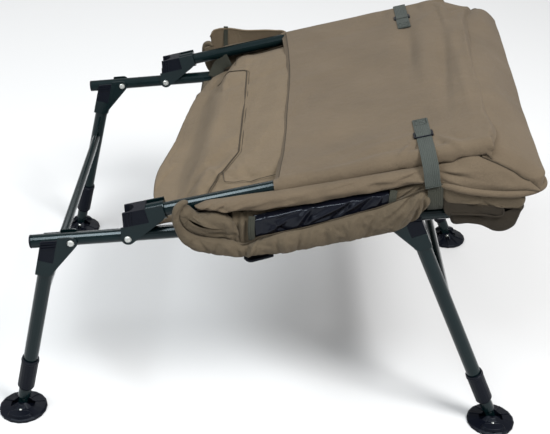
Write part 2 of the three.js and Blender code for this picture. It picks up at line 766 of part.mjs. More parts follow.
// The padded sleeve over the front tube, open above for the pad
function seatFrontSleeve() {
  const { rear, overhang, drop, rise } = frontSleeve;
  const width = railSpan + 2 * overhang;
  const front = seatPad.front;
  const round = drop / 4;
  const outline = new THREE.Shape();
  outline.moveTo(rear, -drop + round);
  outline.lineTo(rear + round, -drop);
  outline.lineTo(front - round, -drop);
  outline.lineTo(front, -drop + round);
  outline.lineTo(front, rise - round);
  outline.lineTo(front - round, rise);
  outline.lineTo(rear, rise);
  const block = plate(outline, -width / 2, width);
  const padEdge = unflangedEdge + 2 * clearance;
  const padFloor = [notchTop - clearance, rise + overrun];
  const padSpace = box([rear - overrun, front + overrun], [-padEdge, padEdge], padFloor);
  const bow = bowRoute(rear - overrun, seatFrontStation, railSpan);
  return cut(block, padSpace, swept(bow, frameTube.radius + 2 * clearance, 0));
}

add(seatFrame, 'seat_front_sleeve', seatFrontSleeve(), 'cloth');

// Places on the backrest where it meets the seat, found by stepping towards the shared height
function splitOnBack(u, outer) {
  let h = -backLift;
  for (let step = 0; step < meetingSteps; step += 1) {
    const rail = backFoot.u + u * cos(backClosedAngle) - h * sin(backClosedAngle);
    const rise = backFoot.w + u * sin(backClosedAngle) + h * cos(backClosedAngle);
    h += splitHeight(rail, outer) - rise;
  }
  return h + splitGap / 2;
}

const tubeUnder = -frameTube.radius - clearance;
const backInner = notchInner - 2 * clearance;
// Shares of the back pad's length, and how many tube radii its outer face lies below the tubes' axis
const backTopShares = [
  [0, 1.9], [0.025, 1], [0.11, 0.25], [0.166, 0.25], [0.18, 0.8], [0.195, 0.25],
  [0.72, 0.3], [0.84, 1.06], [0.905, 1.06], [0.94, 1], [0.985, 2.5], [1, 4],
];
const backPadLength = backPad.front - backPad.rear;
const backPadHalfWidth = railSpan / 2 + backPad.overhang;

// How far the cloth's front end is pulled forward towards the left
const hoodLength = hood.front - hood.hem;
const shearStartShare = 0.8;

function frontShear(u) {
  const share = (u - hood.hem) / hoodLength;
  return hood.skewShare * max(0, share - shearStartShare) / (1 - shearStartShare);
}

// Down the back pad's own edge where it lies between the tubes
const backEdgeShares = [[0.985, 1], [0.99, 0.9], [1, 0.6], [0.99, 0.3], [0.98, 0.15], [0.97, 0.05]];
const edgeShares = { top: 0.97, low: 0.96, shoulder: 0.2, bulge: 0.11 };
const innerShares = crossShares.slice(0, -1);

// Down the edge of a ring that lies between the tubes
function innerEdge(u, top, low) {
  const half = backInner;
  const edgeLow = u < backPad.rear + overrun ? low : splitOnBack(u, true);
  const rise = max(min(top, tubeUnder - padCrown), edgeLow + padCrown) - edgeLow;
  const edge = backEdgeShares.map(([out, up]) => [out * half, edgeLow + rise * up]);
  return [[edgeShares.top * half, top - padCrown], ...edge, [edgeShares.low * half, low + padCrown / 2]];
}

// Down the edge of a ring that reaches out under the tubes
function outerEdge(half, top, low, outerLow) {
  const flat = min(top, tubeUnder);
  const middle = outerLow + (flat - outerLow) / 2;
  const span = half - backInner;
  const shoulder = half - span * edgeShares.shoulder;
  return [
    [backInner, top - padCrown], [backInner + clearance, flat - padCrown], [shoulder, flat],
    [half, middle], [half - span * edgeShares.bulge, outerLow + (middle - outerLow) / 2],
    [shoulder, outerLow], [backInner + clearance, outerLow + padCrown], [backInner, low + padCrown],
  ];
}

function backPadHalfRing(u, share) {
  const top = -reading(backTopShares, share) * frameTube.radius;
  const low = splitOnBack(u, false) + (share < backTopShares[1][0] ? backPadRootLift : 0);
  const half = backPadHalfWidth + (u < hood.hem - hood.wall ? backPad.lobeReach : 0);
  const narrow = u < backPad.lobeStart;
  const edge = narrow ? innerEdge(u, top, low) : outerEdge(half, top, low, splitOnBack(u, true));
  const over = innerShares.map((part) => [part * backInner, top - padCrown * part * part]);
  const under = innerShares.map((part) => [part * backInner, low + padCrown * part * part / 2]);
  return [...over, ...edge, ...under.reverse()];
}

function backPadSolid() {
  const kink = onBack(seatSplit.peakStation, seatSplit.peakHeight).u;
  const end = onBack(seatPad.front, seatSplit.frontHeight).u;
  const cover = onBack(coverEnd(), notchTop + railCover).u;
  const places = backTopShares.map(([share]) => backPad.rear + share * backPadLength);
  places.push(backPad.lobeStart - stationStep, backPad.lobeStart + stationStep);
  places.push(hood.hem - 2 * hood.wall, hood.hem - hood.wall);
  places.push(kink, end, cover);
  places.sort((a, b) => a - b);
  const rings = places.map((u) => {
    const share = (u - backPad.rear) / backPadLength;
    const fall = max(0, 1 - (u - backPad.rear) / (backPad.lobeStart - backPad.rear));
    const shear = backPad.skewShare * fall + frontShear(u);
    return mirroredRing(backPadHalfRing(u, share), (y, h) => new THREE.Vector3(u + shear * y, y, h));
  });
  return loft(rings, (point) => new THREE.Vector2(point.y, point.z));
}

add(backFrame, 'back_pad', backPadSolid(), 'cloth');

// The hood pocket: a skin over the top of the back frame, open at its hem and below. Its top falls
// away towards the front by a number of its own thicknesses.
const hoodTopShares = [[0, 0], [0.86, 0], [0.92, 0.75], [0.963, 2.15], [1, 4.9]];
const hoodPlaceShares = [0, 0.1, 0.4, 0.86, 0.92, 0.936, 0.945, 0.963, 1];
const hoodAcrossShares = [0.6, 0.965, 0.985];
const hoodFlatEndShare = 0.86;
const hoodCrownShare = 0.7;
const frontDropShare = 0.94;
const hoodHalfWidth = backPadHalfWidth + hood.ease + hood.wall;

function hoodHalfRing(u, inset) {
  const share = (u - hood.hem) / hoodLength;
  const fall = reading(hoodTopShares, share) * (frameTube.radius + hood.wall);
  const top = frameTube.radius + clearance + hood.wall - fall - inset;
  const crown = share > 0 && share < hoodFlatEndShare ? hood.crown : hood.crown / 4;
  const half = hoodHalfWidth - inset;
  const [middle, edge, corner] = hoodAcrossShares.map((part) => part * half);
  const meet = share > frontDropShare ? -hood.drop : splitOnBack(u, true) + splitGap;
  const low = inset > 0 ? -hood.drop - overrun : meet;
  return [
    [0, top + crown], [middle, top + crown * hoodCrownShare], [edge, top], [corner, top - hood.wall],
    [half, top - 3 * hood.wall], [half, low], [0, low - hood.crown / 2],
  ];
}

function hoodSkin(places, inset) {
  const rings = places.map((u) => {
    return mirroredRing(hoodHalfRing(u, inset), (y, h) => new THREE.Vector3(u + frontShear(u) * y, y, h));
  });
  return loft(rings, (point) => new THREE.Vector2(point.y, point.z));
}

function hoodPocket() {
  const places = hoodPlaceShares.map((share) => hood.hem + share * hoodLength);
  places.push(hoodStrap.station);
  places.sort((a, b) => a - b);
  const inner = places.slice(0, -1);
  inner[0] -= overrun;
  inner.push(hood.front - hood.wall);
  return cut(hoodSkin(places, 0), hoodSkin(inner, hood.wall));
}

add(backFrame, 'hood_pocket', hoodPocket(), 'cloth');

// A line of points moved sideways, to its left
function moved(line, distance) {
  return line.map(([x, z], item) => {
    const [beforeX, beforeZ] = line[max(item - 1, 0)];
    const [afterX, afterZ] = line[min(item + 1, line.length - 1)];
    const reach = hypot(afterX - beforeX, afterZ - beforeZ);
    return [x - (afterZ - beforeZ) / reach * distance, z + (afterX - beforeX) / reach * distance];
  });
}

// Webbing with its width along the rails, laid outside a line in the YZ plane
function webbingAlong(line, station, way) {
  const gap = way * 2 * clearance;
  const under = moved(line, gap);
  const over = moved(line, gap + way * webbing.thickness);
  return crossPlate(polygon([...under, ...over.reverse()]), station, webbing.width);
}

// From the tab's end on the hood, over its edge and down its side
function hoodStrapLine(way) {
  const [, start, ...edge] = hoodHalfRing(hoodStrap.station, 0).slice(0, -2);
  const tab = railSpan / 2 - hoodStrap.reach;
  const line = [[tab, start[1]], ...edge, [hoodHalfWidth, -hoodStrap.drop]];
  return line.map(([y, h]) => [way * y, h]);
}

for (const [side, way] of sides) {
  const strap = webbingAlong(hoodStrapLine(way), hoodStrap.station, way);
  add(backFrame, `hood_strap_${side}`, strap, 'webbing');
}

function railStrap(way) {
  const inner = frameTube.radius + clearance;
  const outer = inner + webbing.thickness;
  const loop = tube(outer, inner, -webbing.width / 2, webbing.width / 2).rotateY(PI / 2);
  const y = [way * inner, way * outer].sort((a, b) => a - b);
  const tail = box([-webbing.width / 2, webbing.width / 2], y, [0, railStrapRise]);
  return joined(loop, tail).translate(railStrapStation, way * railSpan / 2, 0);
}

const stripPlane = notchOuter + rollShares[2][1] * seatPad.flangeWidth + clearance;

function rainStripOutline() {
  const { rear, front, rearLow, frontLow, height } = rainStrip;
  const top = splitHeight(front) - clothThickness;
  return polygon([[rear, rearLow], [front, frontLow], [front, top], [rear, rearLow + height]]);
}

for (const [side, way] of sides) {
  add(seatFrame, `rail_strap_${side}`, railStrap(way), 'webbing');
  const y = way > 0 ? stripPlane : -stripPlane - rainStrip.thickness;
  add(seatFrame, `rain_strip_${side}`, plate(rainStripOutline(), y, rainStrip.thickness), 'coated');
}

export default chair;
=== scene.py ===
"""A folding carp fishing chair, closed with its backrest laid over the seat, dressed for its picture.

Places are given in millimetres on one of two slopes: the seat rails' or the back tubes'. On both, u
runs along the tubes to the front, y across to the chair's left, and the third number stands square
on them. Meshes are in metres.
"""

import json
import logging
import math
from dataclasses import dataclass, field
from enum import Enum
from typing import Any, Sequence

import bmesh
import bpy
import numpy as np
from mathutils import Matrix

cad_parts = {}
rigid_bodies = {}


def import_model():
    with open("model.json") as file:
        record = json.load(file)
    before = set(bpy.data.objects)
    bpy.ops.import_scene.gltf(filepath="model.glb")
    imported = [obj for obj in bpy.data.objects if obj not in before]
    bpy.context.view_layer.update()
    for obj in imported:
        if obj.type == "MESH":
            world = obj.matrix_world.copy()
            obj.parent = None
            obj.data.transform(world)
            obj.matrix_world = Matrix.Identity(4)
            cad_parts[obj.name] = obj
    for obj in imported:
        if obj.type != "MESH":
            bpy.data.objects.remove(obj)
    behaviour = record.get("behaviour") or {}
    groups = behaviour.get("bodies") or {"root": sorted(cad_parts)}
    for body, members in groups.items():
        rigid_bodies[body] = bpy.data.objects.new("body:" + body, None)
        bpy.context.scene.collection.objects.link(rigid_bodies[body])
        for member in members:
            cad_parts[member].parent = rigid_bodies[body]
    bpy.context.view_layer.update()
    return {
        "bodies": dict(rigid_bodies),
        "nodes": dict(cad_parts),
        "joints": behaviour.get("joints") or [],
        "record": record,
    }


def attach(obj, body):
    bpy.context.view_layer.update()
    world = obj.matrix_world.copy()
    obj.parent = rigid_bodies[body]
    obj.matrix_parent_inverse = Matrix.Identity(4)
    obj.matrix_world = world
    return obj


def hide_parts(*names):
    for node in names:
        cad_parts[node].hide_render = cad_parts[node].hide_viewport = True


Array = np.ndarray
Curve = tuple[tuple[float, float], ...]
Piece = bpy.types.Object
Material = bpy.types.Material
Socket = bpy.types.NodeSocket

LOG = logging.getLogger("chair")
MILLIMETRE = 0.001


class Side(Enum):
    """A side of the chair, with the sign of its places across."""

    RIGHT = -1.0
    LEFT = 1.0

    def __str__(self) -> str:
        """The side's word in the names of pieces."""
        return self.name.lower()


# Places


@dataclass(frozen=True)
class Slope:
    """A sloping plane through the chair, square to its sides.

    Attributes:
        x: where the plane's first axis starts, in millimetres to the front.
        z: its height there, in millimetres.
        rise: its angle above the ground, in radians.
    """

    x: float
    z: float
    rise: float

    def place(self, u: Array | float, y: Array | float, w: Array | float) -> Array:
        """Points at (u, y, w), turned by the slope's angle about the chair's cross axis.

        Args:
            u: stations, in millimetres.
            y: places across, in millimetres.
            w: heights off the slope.

        Returns:
            An array with the shape of the places and a last axis of three, in metres.
        """
        c, s = math.cos(self.rise), math.sin(self.rise)
        u, y, w = np.broadcast_arrays(np.asarray(u, float), y, w)
        return np.stack([self.x + u * c - w * s, y, self.z + u * s + w * c], -1) * MILLIMETRE

    def line(self, rows: Array, way: float = 1.0) -> Array:
        """Places rows of (u, y, w), mirrored to the chair's right side where way is -1."""
        return self.place(rows[:, 0], way * rows[:, 1], rows[:, 2])

    def up(self) -> Array:
        """The direction square to the slope, upwards."""
        return np.array([-math.sin(self.rise), 0.0, math.cos(self.rise)])

    def along(self) -> Array:
        """The direction up the slope, to the front."""
        return np.array([math.cos(self.rise), 0.0, math.sin(self.rise)])

    def inner(self, u: float, w: float, rise: float) -> "Slope":
        """A slope that starts at (u, w) of this one and rises further by an angle."""
        x, _, z = self.place(u, 0.0, w) / MILLIMETRE
        return Slope(float(x), float(z), self.rise + rise)


SEAT_HEIGHT = 397.3
SEAT_TILT = math.radians(6.81)
BACK_TILT = math.radians(8.11)
BACK_LIFT = 32.7
RECLINE_STATION = -214.1
RAILS = Slope(0.0, SEAT_HEIGHT, SEAT_TILT)
BACK = RAILS.inner(
    RECLINE_STATION - BACK_LIFT * math.sin(BACK_TILT), BACK_LIFT * math.cos(BACK_TILT), BACK_TILT
)
RAIL_Y = 305.0
TUBE_RADIUS = 11.0
BOW_RADIUS = 45.0
BACK_TOP = 579.0


def eased(low: float, high: float, x: Array | float) -> Array:
    """0 below low, 1 above high, and three t squared less two t cubed between them."""
    t = np.clip((np.asarray(x, float) - low) / (high - low), 0, 1)
    return t * t * (3 - 2 * t)


def quarter(t: Array, least: float = 0.0) -> Array:
    """Falls from 1 at 0 to 0 at 1 along a quarter circle; its square is never below least."""
    return np.sqrt(np.clip(1 - np.clip(t, 0, 1) ** 2, least, 1))


def circle(count: int) -> tuple[Array, Array]:
    """The cosine and the sine of turns that are evenly shared round a circle."""
    turn = np.linspace(0, 2 * math.pi, count, endpoint=False)
    return np.cos(turn), np.sin(turn)


def squared(wave: Array, power: float) -> Array:
    """A cosine or sine whose size is raised to a power, which fills a round outline's corners."""
    return np.sign(wave) * np.abs(wave) ** power


def close_ends(start: float, first: int, middle: int) -> Array:
    """Shares from 0 to 1 that lie closer together before start and near 1.

    Args:
        start: where the close part ends.
        first: how many shares it has.
        middle: how many the middle has.

    Returns:
        The shares, in order.
    """
    return np.concatenate([
        np.linspace(0, start, first)[:-1], np.linspace(start, 0.97, middle), np.linspace(0.972, 1, 12),
    ])


def sideways(way: float, up: float = 0.0) -> Array:
    """The direction out of the chair's side, with a share of up."""
    return np.array([0.0, way, up])


def read(table: Curve, x: Array | float) -> Array:
    """Reads a table of (place, value) along a smooth line through its points.

    Between two points the value is the cubic that has the table's own slope at both. Before the
    first point and past the last it stays as it is there.

    Args:
        table: rows of (place, value), by rising place.
        x: where to read.

    Returns:
        The values.
    """
    places, values = np.array(table, float).T
    slopes = np.gradient(values, places) if len(places) > 2 else np.diff(values) / np.diff(places)
    if len(slopes) < len(places):
        slopes = np.repeat(slopes, 2)
    x = np.clip(np.asarray(x, float), places[0], places[-1])
    item = np.clip(np.searchsorted(places, x, side="right") - 1, 0, len(places) - 2)
    step = places[item + 1] - places[item]
    t = (x - places[item]) / step
    before = (1 + 2 * t) * (1 - t) ** 2 * values[item] + t * (1 - t) ** 2 * step * slopes[item]
    after = t * t * (3 - 2 * t) * values[item + 1] + t * t * (t - 1) * step * slopes[item + 1]
    return before + after


def through(points: Sequence[Sequence[float]], count: int) -> Array:
    """A smooth line of evenly shared points through a few given ones, as rows of coordinates.

    Args:
        points: rows of coordinates.
        count: how many points to give.

    Returns:
        The line's points.
    """
    rows = np.array(points, float)
    reach = np.concatenate([[0.0], np.cumsum(np.linalg.norm(np.diff(rows, axis=0), axis=1))])
    share = np.linspace(0, reach[-1], count)
    return np.stack([read(tuple(zip(reach, values)), share) for values in rows.T], -1)


def cornered(points: Sequence[Sequence[float]], count: int, rounds: int = 4) -> Array:
    """Evenly shared points along straight lines, with each corner eased by a few rounds of means.

    Args:
        points: rows of coordinates.
        count: how many points to give.
        rounds: how often each point is eased.

    Returns:
        The line's points.
    """
    rows = np.array(points, float)
    reach = np.concatenate([[0.0], np.cumsum(np.linalg.norm(np.diff(rows, axis=0), axis=1))])
    share = np.linspace(0, reach[-1], count)
    line = np.stack([np.interp(share, reach, values) for values in rows.T], -1)
    for _ in range(rounds):
        line[1:-1] = (line[:-2] + 2 * line[1:-1] + line[2:]) / 4
    return line


def column(count: int) -> Array:
    """Evenly spaced shares from 0 to 1, one in each row."""
    return np.linspace(0, 1, count)[:, None]


def ripple(x: Array, y: Array, length: float, seed: int, waves: int = 9) -> Array:
    """Unevenness of mostly less than 1 up or down.

    It is the sum of seeded sine waves over the square root of their number.

    Args:
        x: places along, in millimetres.
        y: places across.
        length: about how long a wave is.
        seed: picks the waves.
        waves: how many there are.

    Returns:
        The unevenness at each place.
    """
    chance = np.random.default_rng(seed)
    total = np.zeros(np.broadcast(x, y).shape)
    for _ in range(waves):
        turn, phase = chance.uniform(0, 2 * math.pi, 2)
        pace = 2 * math.pi / length * chance.uniform(0.6, 1.6)
        total = total + np.sin(pace * (x * math.cos(turn) + y * math.sin(turn)) + phase)
    return total / math.sqrt(waves)


@dataclass(frozen=True)
class Fold:
    """A soft ridge or dent in cloth.

    Attributes:
        along: the middle's place along the first axis, in millimetres.
        across: its place along the second.
        heading: the direction of the fold, in degrees from the first axis.
        length: half its length.
        width: half its width.
        lift: how far it stands up, or sinks where negative.
    """

    along: float
    across: float
    heading: float
    length: float
    width: float
    lift: float

    def at(self, x: Array, y: Array) -> Array:
        """The lift times a bell curve along the fold and a bell curve across it.

        Args:
            x: places along the first axis.
            y: places along the second.

        Returns:
            How far the cloth is lifted at each place.
        """
        turn = math.radians(self.heading)
        dx, dy = x - self.along, y - self.across
        run = (dx * math.cos(turn) + dy * math.sin(turn)) / self.length
        side = (dy * math.cos(turn) - dx * math.sin(turn)) / self.width
        return self.lift * np.exp(-run * run - side * side)


Folds = tuple[Fold, ...]


def folded(folds: Folds, x: Array, y: Array) -> Array:
    """The sum of the folds' lifts at each place."""
    return sum((fold.at(x, y) for fold in folds), np.zeros(np.broadcast(x, y).shape))


# Meshes


@dataclass
class Skin:
    """A surface over a grid of points, which becomes one mesh object.

    Attributes:
        name: the piece's name.
        grid: points in metres, as rows of columns.
        around: whether the last column joins the first.
        closed: whether the first and the last row are drawn together to a point.
    """

    name: str
    grid: Array
    around: bool = False
    closed: bool = False

    def cloth_map(self) -> Array:
        """Each point's distance along its row and down its column, in metres.

        Returns:
            A grid of pairs.
        """
        across = np.linalg.norm(np.diff(self.grid, axis=1), axis=2)
        down = np.linalg.norm(np.diff(self.grid, axis=0), axis=2)
        u = np.concatenate([np.zeros((len(across), 1)), np.cumsum(across, axis=1)], axis=1)
        v = np.concatenate([np.zeros((1, down.shape[1])), np.cumsum(down, axis=0)])
        return np.stack([u, v], -1)

    def build(self, finish: "Finishes", slot: str = "cloth", wall: float = 0.0) -> Piece:
        """Makes the object: four-sided faces over the grid, with its seams and poles merged.

        Args:
            finish: what it looks like.
            slot: not used.
            wall: a thickness in millimetres, for a sheet.

        Returns:
            The new object, at the origin.
        """
        grid = self.grid
        if self.around:
            grid = np.concatenate([grid, grid[:, :1]], axis=1)
        if self.closed:
            middles = grid[[0, -1]].mean(axis=1, keepdims=True)
            grid = np.concatenate([
                np.broadcast_to(middles[0], grid[:1].shape), grid,
                np.broadcast_to(middles[1], grid[:1].shape),
            ])
        uv = Skin(self.name, grid).cloth_map().reshape(-1, 2)
        rows, columns = grid.shape[:2]
        first = (np.arange(rows - 1)[:, None] * columns + np.arange(columns - 1)).ravel()
        faces = np.stack([first, first + 1, first + columns + 1, first + columns], -1)
        mesh = bpy.data.meshes.new(self.name)
        mesh.from_pydata(grid.reshape(-1, 3), [], faces)
        layer = mesh.uv_layers.new(name="cloth")
        layer.data.foreach_set("uv", uv[faces.ravel()].astype(np.float32).ravel())
        return finished(mesh, finish, wall)


def closed(name: str, grid: Array) -> Skin:
    """A skin whose rows are rings, closed at both ends."""
    return Skin(name, grid, around=True, closed=True)


def finished(mesh: bpy.types.Mesh, finish: "Finishes", wall: float) -> Piece:
    """Merges a mesh's doubles, turns its faces outwards, dresses it and puts it into the scene.

    Args:
        mesh: the mesh.
        finish: what it looks like.
        wall: a sheet's thickness in millimetres, or 0.

    Returns:
        The object.
    """
    work = bmesh.new()
    work.from_mesh(mesh)
    bmesh.ops.remove_doubles(work, verts=work.verts, dist=1e-5)
    bmesh.ops.dissolve_degenerate(work, edges=work.edges, dist=1e-6)
    bmesh.ops.recalc_face_normals(work, faces=work.faces)
    work.to_mesh(mesh)
    work.free()
    mesh.shade_smooth()
    piece = bpy.data.objects.new(mesh.name, mesh)
    bpy.context.scene.collection.objects.link(piece)
    mesh.materials.append(finish.value.material())
    if wall:
        thicken = piece.modifiers.new("wall", "SOLIDIFY")
        thicken.thickness = wall * MILLIMETRE
        thicken.offset = 0
    return piece


def merged(name: str, pieces: Sequence[Piece]) -> Piece:
    """Joins pieces of one finish into one object of this name.

    Args:
        name: the new object's name.
        pieces: the pieces, which it takes in.

    Returns:
        The piece.
    """
    with bpy.context.temp_override(
        active_object=pieces[0], selected_editable_objects=list(pieces), selected_objects=list(pieces)
    ):
        bpy.ops.object.join()
    pieces[0].name = pieces[0].data.name = name
    return pieces[0]


def settled(pieces: Sequence[Piece], body: str) -> None:
    """Lets pieces ride on a body of the frame, and reports each.

    Args:
        pieces: the pieces.
        body: the body's name.
    """
    for piece in pieces:
        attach(piece, body)
        LOG.info("made %s", piece.name)


def carried(path: Array, outline: Array, facing: Array) -> Array:
    """Carries a flat outline along a path.

    Each point is the path's point, plus the outline's first number times the side, plus its second
    times the facing, where the side is the path's direction crossed with the facing.

    Args:
        path: points in metres.
        outline: a closed outline, in millimetres.
        facing: one direction, or one for each point of the path.

    Returns:
        A grid with one row for each point of the path.
    """
    ahead = np.gradient(path, axis=0)
    facing = np.broadcast_to(facing, path.shape)
    side = np.cross(ahead, facing)
    side /= np.linalg.norm(side, axis=1, keepdims=True)
    square = np.cross(side, ahead)
    square /= np.linalg.norm(square, axis=1, keepdims=True)
    outline = outline * MILLIMETRE
    return path[:, None] + side[:, None] * outline[None, :, :1] + square[:, None] * outline[None, :, 1:]


def flat_oval(width: float, height: float, count: int = 20, power: float = 0.35) -> Array:
    """A rounded rectangle about the origin: the cosine and sine, each raised to a power."""
    c, s = circle(count)
    return np.stack([squared(c, power) * width / 2, squared(s, power) * height / 2], -1)


# Shader maths


class Wire:
    """A socket that adds its Math nodes when it is used in an expression."""

    def __init__(self, graph: "Graph", socket: Socket) -> None:
        """Keeps the socket and the graph that it belongs to."""
        self.graph = graph
        self.socket = socket

    def _with(self, operation: str, *values: Any) -> "Wire":
        """A Math node of these values."""
        return self.graph.node("Math", {"operation": operation}, dict(enumerate(values)))

    def __add__(self, other: Any) -> "Wire":
        """self + other."""
        return self._with("ADD", self, other)

    def __sub__(self, other: Any) -> "Wire":
        """self - other."""
        return self._with("SUBTRACT", self, other)

    def __rsub__(self, other: Any) -> "Wire":
        """other - self."""
        return self._with("SUBTRACT", other, self)

    def __mul__(self, other: Any) -> "Wire":
        """self * other."""
        return self._with("MULTIPLY", self, other)

    __radd__ = __add__
    __rmul__ = __mul__

    def sine(self) -> "Wire":
        """The sine."""
        return self._with("SINE", self)

    def between(self, low: float, high: float) -> "Wire":
        """0 below low, 1 above high, eased between them."""
        settings = {"interpolation_type": "SMOOTHSTEP"}
        return self.graph.node("MapRange", settings, {"Value": self, "From Min": low, "From Max": high})


class Graph:
    """The nodes of one material."""

    def __init__(self, name: str) -> None:
        """Starts a material with a Principled shader.

        Args:
            name: the material's name.
        """
        self.material = bpy.data.materials.new(name)
        self.material.use_nodes = True
        self.tree = self.material.node_tree
        self.shader = self.tree.nodes["Principled BSDF"]

    def node(self, kind: str, settings: dict[str, Any], inputs: dict[Any, Any], output: Any = 0) -> Wire:
        """Adds a node.

        Args:
            kind: the node's type, without ShaderNode.
            settings: its properties, set first.
            inputs: values or wires by the socket's name or number.
            output: the name or number of the socket that is returned.

        Returns:
            The output as a wire.
        """
        made = self.tree.nodes.new("ShaderNode" + kind)
        for key, value in settings.items():
            setattr(made, key, value)
        for key, value in inputs.items():
            self.feed(made.inputs[key], value)
        return Wire(self, made.outputs[output])

    def feed(self, socket: Socket, value: Any) -> None:
        """Links a wire to a socket, or sets its value.

        Args:
            socket: the socket.
            value: a wire, a number or a colour.
        """
        if isinstance(value, Wire):
            self.tree.links.new(value.socket, socket)
        else:
            socket.default_value = value

    def blend(self, share: Any, first: Any, second: Any) -> Wire:
        """A colour between two, by a share from 0 to 1."""
        inputs = {0: share, 6: first, 7: second}
        return self.node("Mix", {"data_type": "RGBA"}, inputs, 2)

    def noise(self, place: Wire, scale: float, detail: float = 3.0, rough: float = 0.5,
              **more: Any) -> Wire:
        """Soft noise between 0 and 1, at a number of lumps to the metre."""
        inputs = {"Vector": place, "Scale": scale, "Detail": detail, "Roughness": rough}
        return self.node("TexNoise", more, inputs)

    def bump(self, height: Wire, depth: float, under: Wire | None = None) -> Wire:
        """A bump of a depth in metres, over another bump where one is given.

        Args:
            height: the height, from 0 to 1.
            depth: what a height of 1 stands for.
            under: the other bump.

        Returns:
            The bent normal.
        """
        inputs: dict[Any, Any] = {"Height": height, "Distance": depth, "Strength": 1.0}
        if under is not None:
            inputs["Normal"] = under
        return self.node("Bump", {}, inputs)

    def split(self, place: Wire) -> tuple[Wire, ...]:
        """The three numbers of a place."""
        node = self.node("SeparateXYZ", {}, {0: place}).socket.node
        return tuple(Wire(self, socket) for socket in node.outputs)

    def places(self) -> tuple[Wire, ...]:
        """The piece's own coordinates, whole and as three numbers."""
        place = self.node("TexCoord", {}, {}, "Object")
        return place, *self.split(place)

    def cloth(self) -> tuple[Wire, ...]:
        """The piece's own cloth map, as two numbers in metres."""
        return self.split(self.node("UVMap", {"uv_map": "cloth"}, {}))[:2]

    def set(self, **values: Any) -> Material:
        """Sets the shader's sockets by their names, with an underscore for each space.

        Args:
            values: a value or a wire for each socket.

        Returns:
            The material.
        """
        for key, value in values.items():
            self.feed(self.shader.inputs[key.replace("_", " ")], value)
        return self.material


def shade(red: float, green: float, blue: float) -> tuple[float, float, float, float]:
    """A colour as the shader wants it, from the 0 to 255 that a screen shows.

    Args:
        red: the red.
        green: the green.
        blue: the blue.

    Returns:
        The three channels, and an opacity of 1.
    """
    def linear(level: float) -> float:
        """One channel, by the screen's own curve."""
        level /= 255
        return level / 12.92 if level <= 0.04045 else ((level + 0.055) / 1.055) ** 2.4
    return linear(red), linear(green), linear(blue), 1.0


def lit(colour: Sequence[float], share: float) -> tuple[float, ...]:
    """A colour times a share, with no channel past 1."""
    return tuple(min(1.0, share * level) for level in colour[:3]) + (1.0,)


@dataclass(frozen=True)
class Finish:
    """A finish, which makes its material once."""

    name: str

    def material(self) -> Material:
        """The finish's material, made at its first use."""
        return bpy.data.materials.get(self.name) or self.dress(Graph(self.name))

    def dress(self, graph: Graph) -> Material:
        """Makes the nodes."""
        raise NotImplementedError


@dataclass(frozen=True)
class TubePaint(Finish):
    """Hard green-black paint on steel tube, a little uneven, with rubbed places."""

    colour: tuple[float, ...] = shade(5, 20, 22)
    worn: tuple[float, ...] = shade(24, 36, 38)

    def dress(self, graph: Graph) -> Material:
        """Base colour by broad noise and rubbed spots, roughness by finer noise, orange-peel bump.

        Args:
            graph: the material's nodes.

        Returns:
            The material.
        """
        place, *_ = graph.places()
        broad = graph.noise(place, 22, 4)
        rubbed = graph.noise(place, 160, 6, 0.7).between(0.6, 0.8) * 0.3
        colour = graph.blend(broad, self.colour, lit(self.colour, 0.5))
        rough = graph.noise(place, 70, 4) * 0.08 + 0.13 + rubbed * 0.35
        normal = graph.bump(graph.noise(place, 900, 2), 0.00002)
        return graph.set(
            Base_Color=graph.blend(rubbed, colour, self.worn), Roughness=rough, Normal=normal,
            Specular_IOR_Level=0.22, Specular_Tint=(0.85, 0.96, 1.0, 1.0),
        )


@dataclass(frozen=True)
class Moulding(Finish):
    """Black moulded plastic with a fine spark grain."""

    colour: tuple[float, ...] = shade(4, 6, 14)
    scuffed: tuple[float, ...] = shade(18, 20, 32)

    def dress(self, graph: Graph) -> Material:
        """Dark colour with scuffs where coarse noise is high, and a fine grain in the bump.

        Args:
            graph: the material's nodes.

        Returns:
            The material.
        """
        place, *_ = graph.places()
        scuffs = graph.noise(place, 60, 8, 0.75).between(0.56, 0.8) * 0.5
        grain = graph.noise(place, 2200, 2)
        normal = graph.bump(grain, 0.00008, graph.bump(graph.noise(place, 90, 3), 0.0003))
        rough = graph.noise(place, 120, 3) * 0.2 + 0.3
        return graph.set(
            Base_Color=graph.blend(scuffs, self.colour, self.scuffed), Roughness=rough, Normal=normal,
            Specular_IOR_Level=0.12, Specular_Tint=(0.85, 0.92, 1.0, 1.0),
        )


@dataclass(frozen=True)
class Zinc(Finish):
    """Bright plated steel, faintly brushed and clouded."""

    colour: tuple[float, ...] = shade(196, 198, 194)

    def dress(self, graph: Graph) -> Material:
        """Metal whose colour and roughness vary with one noise, and whose bump is a finer one.

        Args:
            graph: the material's nodes.

        Returns:
            The material.
        """
        place, *_ = graph.places()
        cloud = graph.noise(place, 400, 4)
        dull = lit(self.colour, 0.6)
        normal = graph.bump(graph.noise(place, 3000, 2), 0.00003)
        return graph.set(
            Base_Color=graph.blend(cloud, self.colour, dull), Metallic=0.9,
            Roughness=cloud * 0.25 + 0.2, Normal=normal,
        )


